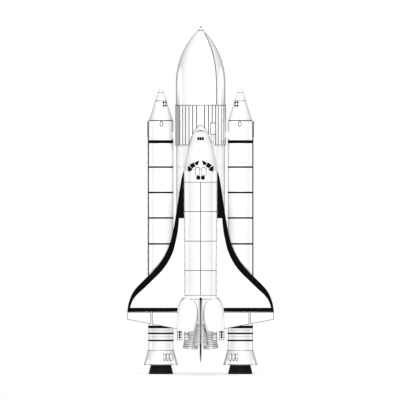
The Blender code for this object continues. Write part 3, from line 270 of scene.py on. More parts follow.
# Half thickness of the fin by h, and its share of that from the hinge to the leading edge
FIN_THICKNESS = ((2.30, 0.43), (2.75, 0.43), (3.25, 0.27), (4.30, 0.20), (10.57, 0.12))
FIN_OUTLINE = ((0.0, 0.92), (0.6, 1.0), (0.85, 0.85), (0.97, 0.45), (1.0, 0.10))
RUDDER_BASE_H = 4.36
RUDDER_TOP_H = 10.45
POST_R = 0.13
FLAP_HINGE = (7.40, -2.75)
FLAP_R = 0.30
FLAP_HALF_WIDTH = 2.62
FLAP_END_Z = 5.35

# Engines
ENGINE_EXIT_R = 1.195
ENGINE_LENGTH = 3.99
DOME_R = 0.95
POCKET_GAP = 0.045
GIMBAL_R = 0.45
NECK = (0.40, -0.86)
BELL_WALL = 0.07
BELL_THROAT = -1.05
BELL_PROFILE = (
    # height below the pivot, radius
    (-0.98, 0.42), (-1.25, 0.52), (-1.95, 0.80), (-2.80, 1.02), (-ENGINE_LENGTH, ENGINE_EXIT_R),
)
HOOP_PITCH = 0.30
HOOPS = 8
BELL_HOOP = ((-0.02, 0.045), (0.0315, 0.03), (0.045, 0.0), (0.0315, -0.03), (-0.02, -0.045))
# Pipes down the bell: where they start round it, how far they turn for each metre, how far out they lie
BELL_PIPES = (0.6, 2.7, 4.8)
PIPE_TOP = -0.95
PIPE_TWIST = 0.25
PIPE_OUT = 0.06
PIPE_R = 0.045
ENGINES = (
    # name, pivot x, pivot h, pivot z, pitch up in degrees, cant outward in degrees
    ("upper", 0.0, 1.09, 8.76, 16.0, 0.0),
    ("left", -1.35, -1.46, 8.16, 10.0, -4.5),
    ("right", 1.35, -1.46, 8.16, 10.0, 4.5),
)
BASE_Z = 7.45
BASE_SLOPE = 0.235
BASE_REF_H = -1.46
SEAT_REACH = 6.0

# Crew hatch
HATCH_Z = 33.10
HATCH_H = -1.20
HATCH_R = 0.51
HATCH_REACH = (-2.15, -3.2)
# Heights of the pieces of skin and of inner space from which the leaf is cut
HATCH_SKIN_Z = (34.4, 32.0)
HATCH_SPACE_Z = (34.45, 31.95)
HATCH_GAP = 0.016
HATCH_BARREL_R = 0.05
HATCH_BARREL_HALF = 0.30
HATCH_BARRELS = ((-0.30, -0.12), (-0.10, 0.10), (0.12, 0.30))

# Forward fuselage: height z, half width, top h, bottom h, belly corner radius
FORWARD_SECTIONS = (
    (40.08, 0.02, -1.52, -1.56, 0.01),
    (39.95, 0.33, -1.16, -1.96, 0.20),
    (39.65, 0.63, -0.86, -2.20, 0.35),
    (39.05, 1.06, -0.45, -2.48, 0.55),
    (38.36, 1.36, -0.16, -2.64, 0.65),
    (37.40, 1.69, 0.14, -2.82, 0.65),
    (36.43, 2.00, 0.42, -2.93, 0.55),
    (35.15, 2.25, 0.78, -3.02, 0.40),
    (34.50, 2.39, 1.02, -3.05, 0.32),
    (33.20, 2.60, 2.02, -3.05, 0.20),
    (32.57, 2.66, 2.50, -3.05, 0.12),
    (BAY_FORE_Z + GAP, 2.66, 2.66, -3.05, 0.12),
)

# Wing plan: height z, leading edge x, inner edge x of the dark leading-edge strip
WING_PLAN = (
    (32.60, 2.72, 2.67),
    (31.93, 2.98, 2.67),
    (30.00, 3.31, 2.67),
    (28.00, 3.62, 2.67),
    (25.70, 3.98, 2.67),
    (25.50, 4.01, 3.42),
    (23.25, 4.40, 3.63),
    (21.60, 4.76, 3.94),
    (20.00, 5.33, 4.34),
    (18.40, 6.20, 5.05),
    (16.80, 7.47, 6.14),
    (15.20, 9.12, 7.71),
    (13.60, 10.62, 9.38),
    (12.80, 11.10, 10.25),
    (12.00, 11.42, 10.85),
    (11.20, 11.65, 11.20),
    (10.74, 11.72, 11.32),
    (9.92, 11.80, 11.45),
)

# Rear pods: height z, inner x, outer x, low h, top h
POD_SECTIONS = (
    (12.20, 1.75, 2.60, 1.70, 2.35),
    (11.95, 1.20, 3.10, 1.20, 2.75),
    (11.40, 0.80, 3.45, 0.80, 3.05),
    (10.60, 0.60, 3.70, 0.55, 3.30),
    (9.20, 0.55, 3.84, 0.45, 3.45),
    (7.05, 0.85, 3.86, 0.45, 3.40),
)
POD_POWER = 2 / 2.7
POD_ROUND = 1.6
# A dark tube of painted shade along the crease where a pod meets the deck: its radius, and its span in z
POD_CREASE_SHADE_R = 0.06
POD_CREASE_SHADE_Z = (11.9, 8.45)
# x, h and z spans of the thruster box behind each pod
THRUSTER_BOX = (2.96, 3.78, 1.50, 2.75, 5.58, 7.05)
THRUSTER_PORTS_Z = (6.82, 6.42, 6.02)
# x, h, top z, exit z, throat radius and exit radius of each pod's engine
POD_ENGINE = (2.25, 2.30, 7.05, 5.50, 0.22, 0.46)
POD_ENGINE_WALL = 0.04
POD_HOOP = ((-0.01, 0.04), (0.02, 0.025), (0.02, -0.025), (-0.01, -0.04))

# Windows seen along Y, right side, as x and z corners; the left side mirrors them
FORWARD_WINDOWS = (
    ((0.24, 34.43), (0.95, 34.02), (0.69, 33.70), (0.48, 33.74)),
    ((1.20, 34.03), (1.73, 33.66), (1.34, 33.20), (0.85, 33.54)),
    ((2.00, 33.50), (2.00, 32.83), (1.77, 32.68), (1.38, 32.94), (1.57, 33.24)),
)
OVERHEAD_WINDOW = ((0.19, 33.08), (0.34, 33.24), (0.65, 33.24), (0.82, 33.08),
                   (0.82, 32.24), (0.66, 32.09), (0.34, 32.09), (0.19, 32.24))
AFT_WINDOW = ((0.12, 31.80), (0.22, 31.90), (0.50, 31.90), (0.60, 31.80),
              (0.60, 31.50), (0.50, 31.40), (0.22, 31.40), (0.12, 31.50))
WINDOWS = (
    # outline, h down to which it is cut, look of the cut, look and width of the rim, glazing and its look
    *((outline, 0.55, "seam_dark", "band_black", 0.05, "windshield", "glass_dark")
      for outline in FORWARD_WINDOWS),
    (OVERHEAD_WINDOW, 1.6, "seam_pale", "seam_dark", 0.09, "overhead_glass", "glass_pale"),
    (AFT_WINDOW, 1.6, "seam_pale", "band_black", 0.07, "overhead_glass", "glass_dark"),
)


# Materials

# A clear coat takes light away where a surface turns from the eye, so that edges look drawn
COAT = {"Coat Weight": 1.0, "Coat Roughness": 0.02, "Coat IOR": 2.2}
ROUGH_SWING = 0.06
# Tiles of the model, in its own metres
TILE = 0.076
TILE_GAP = 0.0022
BELLY_GAP_COLOR = (0.10, 0.10, 0.10)
# The belly's border: z and h at the wing and at the nose, where more of the side is dark
BORDER_WING = (33.0, -2.45)
BORDER_NOSE = (39.5, -1.55)
BORDER_BLUR = 0.012
# World heights between which the bells' heat colours change
HEAT_LOW, HEAT_HIGH = 2.1, 4.4
HEAT_COLORS = ((0.0, (0.62, 0.61, 0.60)), (0.35, (0.78, 0.775, 0.77)),
               (0.65, (0.74, 0.72, 0.70)), (1.0, (0.60, 0.60, 0.62)))
PANE_ALPHA = 0.96


def fill(tree, made, inputs):
    """Fills a node's inputs, each with a value or another node's output."""
    for name, value in inputs.items():
        if isinstance(value, bpy.types.NodeSocket):
            tree.links.new(value, made.inputs[name])
        else:
            made.inputs[name].default_value = value
    return made


def node(tree, kind, inputs=None, **settings):
    made = tree.nodes.new(kind)
    for name, value in settings.items():
        setattr(made, name, value)
    return fill(tree, made, inputs or {})


def math_node(tree, operation, first, second):
    return node(tree, "ShaderNodeMath", {0: first, 1: second}, operation=operation).outputs[0]


def ramp(tree, factor, stops):
    """A colour ramp; stops are places and grey or RGB values."""
    made = node(tree, "ShaderNodeValToRGB", {"Fac": factor})
    elements = made.color_ramp.elements
    while len(elements) < len(stops):
        elements.new(0.5)
    for element, (place, value) in zip(elements, stops):
        element.position = place
        color = (value, value, value) if isinstance(value, float) else value
        element.color = (*color, 1.0)
    return made.outputs["Color"]


def noise(tree, vector, scale, detail):
    inputs = {"Vector": vector, "Scale": scale, "Detail": detail}
    return node(tree, "ShaderNodeTexNoise", inputs).outputs["Fac"]


def mix(tree, factor, first, second, blend="MIX"):
    inputs = {0: factor, 6: first, 7: second}
    return node(tree, "ShaderNodeMix", inputs, data_type="RGBA", blend_type=blend).outputs[2]


def axes(tree, place):
    return node(tree, "ShaderNodeSeparateXYZ", {"Vector": place}).outputs


def mapped(tree, value, low, high, to_low=0.0, to_high=1.0):
    """A value between two bounds, brought between two others."""
    inputs = {"Value": value, "From Min": low, "From Max": high, "To Min": to_low, "To Max": to_high}
    return node(tree, "ShaderNodeMapRange", inputs).outputs["Result"]


def stretched_noise(tree, place, scale, detail):
    """Noise drawn out along the axes where its scale is small."""
    vector = node(tree, "ShaderNodeMapping", {"Vector": place, "Scale": scale}).outputs["Vector"]
    return noise(tree, vector, 1.0, detail)


def bricks(tree, vector, colors, width, height, gap, soft, **settings):
    """A brick pattern's outputs; the colours are two for the faces and one for the gaps."""
    inputs = {"Vector": vector, "Scale": 1.0, "Mortar Size": gap, "Mortar Smooth": soft, "Brick Width": width,
              "Row Height": height}
    inputs.update((name, (*color, 1)) for name, color in zip(("Color1", "Color2", "Mortar"), colors))
    return node(tree, "ShaderNodeTexBrick", inputs, **settings).outputs


def shaded(color, share):
    return tuple(value * share for value in color)


def shader_of(name, rough, metallic=0.0, specular=0.5, coat=False):
    """A new material with its tree, its shader and the piece's own coordinates."""
    made = bpy.data.materials.new(name)
    made.use_nodes = True
    tree = made.node_tree
    shader = tree.nodes["Principled BSDF"]
    fill(tree, shader, {"Roughness": rough, "Metallic": metallic, "Specular IOR Level": specular})
    if coat:
        fill(tree, shader, COAT)
    return made, tree, shader, node(tree, "ShaderNodeTexCoord").outputs["Object"]


def add_bump(tree, shader, height, strength, distance):
    bump = node(tree, "ShaderNodeBump", {"Height": height, "Strength": strength, "Distance": distance})
    fill(tree, shader, {"Normal": bump.outputs["Normal"]})


def mottled(name, color, rough, metallic=0.0, amount=0.05, scale=1.2, grain=60.0, depth=0.002, specular=0.5,
            coat=False):
    """A colour that varies softly over the surface, with a fine grain."""
    made, tree, shader, place = shader_of(name, rough, metallic, specular, coat)
    broad = noise(tree, place, scale, 4.0)
    smooth, coarse = max(0.0, rough - ROUGH_SWING), min(1.0, rough + ROUGH_SWING)
    fill(tree, shader, {"Base Color": ramp(tree, broad, ((0.35, shaded(color, 1 - amount)), (0.65, color))),
                        "Roughness": ramp(tree, broad, ((0.3, smooth), (0.7, coarse)))})
    add_bump(tree, shader, noise(tree, place, grain, 2.0), 0.4, depth)
    return made


def tile_vector(tree, place, across):
    """Coordinates for the tiles: round the fuselage, or across a flat surface along X or Y, and Z upwards."""
    parts = axes(tree, place)
    if across == "round":
        offset = math_node(tree, "SUBTRACT", parts["Y"], TANK_Y - SCALE * REF_Y)
        angle = math_node(tree, "ARCTAN2", parts["X"], offset)
        side = math_node(tree, "MULTIPLY", angle, SCALE * BODY_R)
    else:
        side = parts[across]
    return node(tree, "ShaderNodeCombineXYZ", {"X": side, "Y": parts["Z"]}).outputs["Vector"]


def tiled(name, color, gap_color, rough, across="round", amount=0.05, belly=None):
    """Square tiles with thin gaps; belly gives the colour of those below the border on the underside."""
    made, tree, shader, place = shader_of(name, rough, specular=0.2, coat=True)
    vector = tile_vector(tree, place, across)

    def tiles(*colors):
        return bricks(tree, vector, colors, TILE, TILE, TILE_GAP, 0.2)

    pattern = tiles(color, shaded(color, 1 - amount), gap_color)
    result = pattern["Color"]
    if belly is not None:
        parts = axes(tree, place)
        (z0, h0), (z1, h1) = BORDER_WING, BORDER_NOSE
        border = mapped(tree, parts["Z"], z0 * SCALE, z1 * SCALE,
                        TANK_Y - SCALE * (REF_Y + h0), TANK_Y - SCALE * (REF_Y + h1))
        below = mapped(tree, math_node(tree, "SUBTRACT", parts["Y"], border), 0.0, BORDER_BLUR)
        dark = tiles(belly, shaded(belly, 1.25), BELLY_GAP_COLOR)
        result = mix(tree, below, result, dark["Color"])
    stain = ramp(tree, noise(tree, place, 0.9, 4.0), ((0.3, 1.0 - amount), (0.7, 1.0)))
    fill(tree, shader, {"Base Color": mix(tree, 1.0, result, stain, "MULTIPLY")})
    add_bump(tree, shader, math_node(tree, "SUBTRACT", 1.0, pattern["Fac"]), 0.35, 0.002)
    return made


def bell_metal(name):
    """Engine metal with heat colours that change down the bell."""
    made, tree, shader, place = shader_of(name, 0.48, 0.1, coat=True)
    parts = axes(tree, place)
    wander = math_node(tree, "MULTIPLY", noise(tree, place, 3.0, 3.0), 0.25)
    share = mapped(tree, math_node(tree, "ADD", parts["Z"], wander), HEAT_LOW, HEAT_HIGH)
    fill(tree, shader, {"Base Color": ramp(tree, share, HEAT_COLORS)})
    add_bump(tree, shader, stretched_noise(tree, place, (40.0, 40.0, 4.0), 2.0), 0.3, 0.002)
    return made


def brushed(name, color, rough=0.35):
    """Bare metal with short brushed streaks."""
    made, tree, shader, place = shader_of(name, rough, 1.0)
    streaks = stretched_noise(tree, place, (60.0, 60.0, 6.0), 3.0)
    fill(tree, shader, {"Base Color": ramp(tree, streaks, ((0.35, shaded(color, 0.8)), (0.65, color)))})
    add_bump(tree, shader, streaks, 0.2, 0.001)
    return made


def pane(name, color, rough=0.06):
    """Glazing with a tint that varies a little; a near-black one paints the shade of the dark cabin behind
    it.
    """
    made, tree, shader, place = shader_of(name, rough, specular=0.04)
    tint = ramp(tree, noise(tree, place, 2.5, 2.0), ((0.3, color), (0.7, shaded(color, 1.3))))
    fill(tree, shader, {"Alpha": PANE_ALPHA, "Base Color": tint})
    return made


def quilted(name, color):
    """Padded white lining with a sewn grid."""
    made, tree, shader, place = shader_of(name, 0.8)
    colors = (color, shaded(color, 0.93), shaded(color, 0.6))
    pattern = bricks(tree, tile_vector(tree, place, "round"), colors, 0.30, 0.20, 0.004, 0.9, offset=0.0)
    fill(tree, shader, {"Base Color": pattern["Color"]})
    height = math_node(tree, "SUBTRACT", 1.0, pattern["Fac"])
    fine = math_node(tree, "MULTIPLY", noise(tree, place, 40.0, 2.0), 0.2)
    add_bump(tree, shader, math_node(tree, "ADD", height, fine), 0.5, 0.004)
    return made


WHITE = (0.90, 0.90, 0.89)
BLACK = (0.003, 0.003, 0.0035)
GAP_GREY = (0.66, 0.66, 0.65)
LOOKS = {
    "foam": mottled("tank_foam", (0.90, 0.90, 0.885), 0.82, amount=0.03, scale=0.7, grain=45.0, depth=0.003,
                    specular=0.2, coat=True),
    "paint": mottled("booster_paint", WHITE, 0.5, amount=0.03, scale=0.8, grain=90.0, depth=0.001,
                     specular=0.3, coat=True),
    "line_paint": mottled("line_paint", (0.84, 0.84, 0.82), 0.6, amount=0.08, scale=3.0, coat=True),
    "tile_white": tiled("tile_white", WHITE, GAP_GREY, 0.7, belly=BLACK),
    "tile_wing": tiled("tile_wing", WHITE, GAP_GREY, 0.7, across="X"),
    "tile_side": tiled("tile_side", WHITE, GAP_GREY, 0.7, across="Y"),
    "tile_black": tiled("tile_black", (0.014, 0.014, 0.016), (0.07, 0.07, 0.07), 0.6, across="X"),
    "edge_black": mottled("edge_black", BLACK, 0.75, amount=0.3, scale=2.5, specular=0.03),
    "band_black": mottled("band_black", BLACK, 0.8, amount=0.3, scale=2.0, specular=0.03),
    "nozzle_black": mottled("nozzle_black", (0.006, 0.006, 0.007), 0.75, amount=0.4, scale=3.0, depth=0.004,
                            specular=0.1),
    "nozzle_inside": mottled("nozzle_inside", (0.03, 0.028, 0.026), 0.8, amount=0.4, scale=3.0),
    "shield": quilted("engine_shield", (0.82, 0.82, 0.81)),
    "seam_dark": mottled("seam_dark", (0.02, 0.02, 0.022), 0.8, amount=0.3, scale=4.0, specular=0.15),
    "seam_grey": mottled("seam_grey", (0.07, 0.072, 0.075), 0.75, amount=0.2, scale=4.0, specular=0.2),
    "seam_pale": mottled("seam_pale", (0.28, 0.285, 0.29), 0.7, amount=0.2, scale=4.0, specular=0.3),
    "nose_grey": mottled("nose_grey", (0.86, 0.865, 0.87), 0.55, amount=0.06, scale=3.0, coat=True),
    "steel": brushed("strut_steel", (0.50, 0.51, 0.53)),
    "bell": bell_metal("bell_metal"),
    "bell_dark": mottled("bell_dark", (0.10, 0.10, 0.105), 0.6, 0.2, amount=0.4, scale=3.0, specular=0.3),
    # Near-black glazing: the flight deck's dark screens, and on the windows and the hatch's port a painted
    # shade of the dark cabin behind
    "glass_dark": pane("glass_dark", (0.003, 0.003, 0.004)),
    "glass_pale": pane("glass_pale", (0.84, 0.86, 0.87), 0.12),
    "trim": mottled("cabin_trim", (0.18, 0.19, 0.20), 0.6, amount=0.2, scale=6.0),
    "liner": quilted("bay_liner", (0.82, 0.81, 0.77)),
    "radiator": brushed("radiator", (0.78, 0.79, 0.80), 0.22),
}


# Mesh building

SHARP_ANGLE = math.radians(32)
WELD = 0.00004
OUTLINE_STEP = 0.08
PORT_PROFILE = ((1, -0.05), (1, 0.035), (0.86, 0.035), (0.8, 0.012), (0, 0.006))


def pick(look, *at):
    """The name of a look; look is one itself, or gives one for a face."""
    return look(*at) if callable(look) else look


def aligned(place, along):
    """A placement at a point whose Z axis runs along a direction."""
    return Matrix.Translation(place) @ along.to_track_quat("Z", "Y").to_matrix().to_4x4()


class Shape:
    """Faces in full-size metres, each with the name of its look. Several bits make one piece."""

    def __init__(self):
        self.points = []
        self.faces = []
        self.looks = []

    def add(self, points, faces, look):
        start = len(self.points)
        self.points.extend(Vector(point) for point in points)
        for index, face in enumerate(faces):
            self.faces.append([start + corner for corner in face])
            self.looks.append(pick(look, index))
        return self

    def grid(self, rows, look, caps=True, loop=False):
        """Closed rows of points joined by quads. look is a name, or gives one for a row and a column."""
        count = len(rows[0])
        points = [point for row in rows for point in row]
        faces, looks = [], []
        last = len(rows) if loop else len(rows) - 1
        for r in range(last):
            below = (r + 1) % len(rows)
            for c in range(count):
                after = (c + 1) % count
                faces.append((r * count + c, r * count + after, below * count + after, below * count + c))
                looks.append(pick(look, r, c))
        if caps and not loop:
            for row in (0, len(rows) - 1):
                faces.append([row * count + c for c in range(count)])
                looks.append(pick(look, min(row, last - 1), 0))
        return self.add(points, faces, lambda index: looks[index])

    def turned(self, profile, look=None, centre=(0, 0), steps=96, place=None, loop=False):
        """A surface of revolution. Profile rows hold radius, height and, if look is None, the look below."""
        turns = [math.tau * index / steps for index in range(steps)]
        rows = []
        for radius, height, *_ in profile:
            ring = [Vector((centre[0] + radius * math.cos(a), centre[1] + radius * math.sin(a), height))
                    for a in turns]
            rows.append([place @ point for point in ring] if place else ring)
        return self.grid(rows, look or (lambda r, c: profile[r][2]), caps=False, loop=loop)

    def take(self, work, look):
        """Adds what a bmesh holds."""
        work.verts.index_update()
        self.add([v.co.copy() for v in work.verts], [[v.index for v in f.verts] for f in work.faces], look)
        work.free()
        return self

    def box(self, low, high, look, bevel=0.0):
        work = bmesh.new()
        bmesh.ops.create_cube(work, size=1.0)
        bmesh.ops.scale(work, vec=[abs(b - a) for a, b in zip(low, high)], verts=work.verts)
        bmesh.ops.translate(work, vec=[(a + b) / 2 for a, b in zip(low, high)], verts=work.verts)
        if bevel:
            bmesh.ops.bevel(work, geom=work.edges[:], offset=bevel, segments=2, affect="EDGES", profile=0.5)
        return self.take(work, look)

    def rod(self, start, end, radius, look, end_radius=None, steps=32):
        start, along = Vector(start), Vector(end) - Vector(start)
        far = radius if end_radius is None else end_radius
        profile = [(0, 0), (radius, 0), (far, along.length), (0, along.length)]
        return self.turned(profile, look, steps=steps, place=aligned(start, along))

    def tube(self, points, radius, look, steps=24):
        """A round pipe along points, with flat ends."""
        points = [Vector(point) for point in points]
        turns = [math.tau * c / steps for c in range(steps)]
        rows = []
        side = None
        for index, point in enumerate(points):
            before = points[max(0, index - 1)]
            after = points[min(len(points) - 1, index + 1)]
            along = (after - before).normalized()
            if side is None:
                side = along.orthogonal().normalized()
            side = (side - along * side.dot(along)).normalized()
            other = along.cross(side)
            rows.append([point + radius * (side * math.cos(a) + other * math.sin(a)) for a in turns])
        return self.grid(rows, look)

    def mesh(self, name):
        """The mesh in full-size metres, with its materials, welded and with its faces outwards."""
        names = sorted(set(self.looks))
        made = bpy.data.meshes.new(name)
        made.from_pydata(self.points, [], self.faces)
        for look in names:
            made.materials.append(LOOKS[look])
        made.polygons.foreach_set("material_index", [names.index(look) for look in self.looks])
        work = bmesh.new()
        work.from_mesh(made)
        bmesh.ops.remove_doubles(work, verts=work.verts, dist=WELD)
        bmesh.ops.recalc_face_normals(work, faces=work.faces)
        work.to_mesh(made)
        work.free()
        return made


def placed(name, data):
    """A new object in the scene."""
    made = bpy.data.objects.new(name, data)
    bpy.context.scene.collection.objects.link(made)
    return made


def scaled(name, mesh):
    """Brings a mesh to the model's size as a new object."""
    mesh.transform(TO_WORLD)
    mesh.shade_smooth()
    mesh.set_sharp_from_angle(angle=SHARP_ANGLE)
    return placed(name, mesh)


def finished(name, mesh, nodes):
    """Makes a mesh a piece that stands for CAD nodes and rides on their body."""
    made = scaled(name, mesh)
    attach(made, BODY_OF[nodes[0]])
    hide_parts(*nodes)


def dress(shape, *nodes):
    name = nodes[0] + "_fine"
    finished(name, shape.mesh(name), nodes)


def boolean(mesh, tools):
    """A mesh cut by or crossed with others, with their looks; tools are pairs of operation and mesh."""
    target = placed("target", mesh)
    helpers = []
    for operation, tool_mesh in tools:
        step = target.modifiers.new("step", "BOOLEAN")
        step.operation = operation
        step.solver = "EXACT"
        step.material_mode = "TRANSFER"
        step.object = placed("tool", tool_mesh)
        helpers.append(step.object)
    graph = bpy.context.evaluated_depsgraph_get()
    made = bpy.data.meshes.new_from_object(target.evaluated_get(graph))
    for thing in (target, *helpers):
        bpy.data.objects.remove(thing, do_unlink=True)
    return made


def reader(table):
    """Reads a table's columns by its first one, along monotone curves without overshoot."""
    rows = sorted(table)
    keys = [row[0] for row in rows]
    slopes = []
    for column in range(1, len(rows[0])):
        steps = [(after[column] - before[column]) / (after[0] - before[0])
                 for before, after in zip(rows, rows[1:])]
        found = [steps[0]]
        for before, after in zip(steps, steps[1:]):
            found.append(0.0 if before * after <= 0 else 2 * before * after / (before + after))
        found.append(steps[-1])
        slopes.append(found)

    def read(value, column):
        value = min(max(value, keys[0]), keys[-1])
        index = max(i for i in range(len(keys) - 1) if keys[i] <= value)
        width = keys[index + 1] - keys[index]
        t = (value - keys[index]) / width
        a, b = rows[index][column], rows[index + 1][column]
        m, n = slopes[column - 1][index] * width, slopes[column - 1][index + 1] * width
        return ((2 * t ** 3 - 3 * t ** 2 + 1) * a + (t ** 3 - 2 * t ** 2 + t) * m
                + (3 * t ** 2 - 2 * t ** 3) * b + (t ** 3 - t ** 2) * n)

    return read


def orb(x, h, z):
    """A point of the orbiter in the stack's frame: h is the height above its reference line."""
    return (x, -(REF_Y + h), z)


def spread(start, end, steps):
    return [start + (end - start) * index / steps for index in range(steps + 1)]


def banded(low, high, bands, radius, look):
    """Profile rows down a barrel with proud bands; bands are rows of middle, height, proud and look."""
    rows = [(radius, high, look)]
    for middle, height, proud, band_look in bands:
        top, base = middle + height / 2, middle - height / 2
        rows += [(radius, top, band_look), (radius + proud, top, band_look),
                 (radius + proud, base, band_look), (radius, base, look)]
    return rows + [(radius, low, look)]


def port(shape, centre, normal, radius, rim, inside):
    """A round port: a low rim round a bowl."""
    rows = [(radius * share, height, rim if share == 1 else inside) for share, height in PORT_PROFILE]
    shape.turned(rows, steps=28, place=aligned(Vector(centre), Vector(normal).normalized()))


def dark_port(shape, centre, normal, radius):
    port(shape, centre, normal, radius, "band_black", "band_black")


def hoop(shape, radius, z, section, look, **how):
    """A ring round a bell; its section is given by distances outwards and upwards."""
    shape.turned([(radius + out, z + up) for out, up in section], look, loop=True, **how)


def beside(side, near, far):
    """The lower and the higher x of a span between two distances from the middle, on one side."""
    return sorted((side * near, side * far))


def sided(side, point):
    """A point of the right side, or its mirror image on the left."""
    x, y, z = point
    return (side * x, y, z)


def arc(start, end, steps, radius, x=0.0, y=0.0):
    """Points of an arc between two angles round a centre."""
    return [(x + radius * math.cos(a), y + radius * math.sin(a)) for a in spread(start, end, steps)]


def stepped(*outlines):
    """Closed outlines with points at close steps, to follow a curved surface. The first sets the steps."""
    outlines = [[Vector(point) for point in outline] for outline in outlines]
    made = [[] for outline in outlines]
    for index, here in enumerate(outlines[0]):
        after = (index + 1) % len(outlines[0])
        count = max(1, math.ceil((outlines[0][after] - here).length / OUTLINE_STEP))
        for outline, points in zip(outlines, made):
            points += [outline[index].lerp(outline[after], step / count) for step in range(count)]
    return made


def grown(outline, width):
    """A convex outline moved outwards by a width, with its corners kept."""
    count = len(outline)
    area = sum(a[0] * b[1] - b[0] * a[1] for a, b in zip(outline, (*outline[1:], outline[0])))
    way = 1 if area > 0 else -1
    points = []
    for index in range(count):
        before, here, after = (Vector(outline[(index + k) % count]) for k in (-1, 0, 1))
        first, last = (here - before).normalized(), (after - here).normalized()
        normals = [way * Vector((d.y, -d.x)) for d in (first, last)]
        bisector = (normals[0] + normals[1]).normalized()
        points.append(here + bisector * width / max(0.5, bisector.dot(normals[0])))
    return points


def rim(shape, outline, onto, look, width=0.06, lift=0.02, sunk=0.05):
    """A raised strip round an outline on a surface; onto gives the point for two coordinates and a lift."""
    inner, outer = stepped(outline, grown(outline, width))
    rows = [[onto(*point, height) for point in points]
            for points, height in ((inner, -sunk), (inner, lift), (outer, lift), (outer, -sunk))]
    shape.grid(rows, look, loop=True)


def pane_on(shape, outline, look, depth=0.04, thickness=0.03, wider=0.03):
    """A thin pane under a window, a little wider than it, in rings so that it follows the skin."""
    points, = stepped(grown(outline, wider))
    centre = sum(points, Vector((0, 0))) / len(points)
    rings = (1.0, 0.66, 0.33)
    levels = [(-depth, share) for share in reversed(rings)] + [(-depth - thickness, share) for share in rings]
    shape.grid([[forward_skin(*centre.lerp(point, share), lift) for point in points]
                for lift, share in levels], look)


# External tank

def ogive_radius(z):
    """Radius of the tank's nose: one arc that is tangent to the barrel at the shoulder."""
    if z <= OGIVE_SHOULDER_Z:
        return TANK_R
    reach = SPIKE_BASE_Z - OGIVE_SHOULDER_Z
    drop = TANK_R - SPIKE_BASE_R
    bow = (reach ** 2 + drop ** 2) / (2 * drop)
    rise = z - OGIVE_SHOULDER_Z
    return TANK_R - bow + math.sqrt(bow ** 2 - rise ** 2)


def on_tank(azimuth, radius, z):
    """A point at an angle from the orbiter's side of the tank towards +X."""
    return Vector((radius * math.sin(azimuth), -radius * math.cos(azimuth), z))


def joint_ring(radius, top, base):
    """Profile of a low ring with slanted flanks where two parts of a tank are welded together."""
    proud = radius + JOINT_PROUD
    return [(radius, top), (proud, top - JOINT_SLANT), (proud, base + JOINT_SLANT), (radius, base)]


def tank():
    nose = [(0.0, SPIKE_BASE_Z)]
    nose += [(ogive_radius(z), z) for z in spread(SPIKE_BASE_Z, OGIVE_SHOULDER_Z, 44)]
    nose += [*joint_ring(TANK_R, *FORWARD_JOINT), (TANK_R, INTERTANK_TOP_Z), (0.0, INTERTANK_TOP_Z)]
    dress(Shape().turned(nose, "foam", steps=TANK_STEPS), "tank_forward")

    base, base_r = SPIKE_BASE_Z + GAP, SPIKE_BASE_R - 0.02
    ball_z = TANK_TIP_Z - SPIKE_BALL_R
    spike = [(0.0, TANK_TIP_Z, "seam_pale")]
    spike += [(SPIKE_BALL_R * math.sin(a), ball_z + SPIKE_BALL_R * math.cos(a), "seam_pale")
              for a in spread(0.3, 2.6, 10)]
    spike += [(0.09, TANK_TIP_Z - 0.34, "foam"), (0.22, base + 0.26, "foam"),
              (0.38, base + 0.12, "seam_dark"), (base_r, base + 0.06, "seam_dark"),
              (base_r, base, "foam"), (0.0, base, "foam")]
    dress(Shape().turned(spike, steps=48), "tank_nose_cap")

    ribbed_band()

    aft = [(0.0, INTERTANK_BASE_Z), (AFT_TANK_R, INTERTANK_BASE_Z), (AFT_TANK_R, 36.72)]
    aft += joint_ring(AFT_TANK_R, *AFT_JOINT)
    aft += [(AFT_TANK_R, z) for z in spread(36.0, AFT_DOME_TOP_Z + 0.2, 12)]
    aft += [(AFT_TANK_R * math.cos(a), AFT_DOME_TOP_Z - AFT_DOME_HEIGHT * math.sin(a))
            for a in spread(0.0, math.pi / 2, 24)]
    dress(Shape().turned(aft, "foam", steps=TANK_STEPS), "tank_aft")


def ribbed_band():
    """The band between the tanks: lengthwise grooves all round, painted dark inside as shade, and close-set
    ribs on one shoulder, whose grooves are painted grey as that side's shade.
    """
    outer, inner = INTERTANK_R, INTERTANK_R - RIB_DEPTH
    half = RIB_GROOVE / INTERTANK_R / 2
    marks = []
    for index in range(round(math.tau / RIB_PITCH)):
        azimuth = -math.pi + RIB_PITCH * index
        dense_and_shaded = DENSE_SHADED_RIBS[0] <= azimuth <= DENSE_SHADED_RIBS[1]
        # Groove insides are painted dark as shade; the close grooves on the left shoulder are painted grey as
        # that side's shade
        parts, groove_shade = (4, "seam_pale") if dense_and_shaded else (1, "seam_dark")
        for part in range(parts):
            at = azimuth + RIB_PITCH * part / parts
            if abs(at) < 0.01:
                # The middle, towards the orbiter, has no groove
                marks.append((at - half, outer, "foam"))
                continue
            marks += [(at - half, outer, groove_shade), (at - half * 0.7, inner, groove_shade),
                      (at + half * 0.7, inner, groove_shade), (at + half, outer, "foam")]
    top, base, lip, step = INTERTANK_TOP_Z, INTERTANK_BASE_Z, 0.10, 0.02
    heights = ((top - GAP, True), (top - lip, True), (top - lip - step, False),
               (base + lip + step, False), (base + lip, True), (base + GAP, True))
    rows = [[on_tank(azimuth, outer if plain else radius, z) for azimuth, radius, _ in marks]
            for z, plain in heights]

    def look(r, c):
        if r in (0, 4):
            return "seam_grey"
        return marks[c][2] if r == 2 else "foam"

    dress(Shape().grid(rows, look), "tank_ribbed_band")


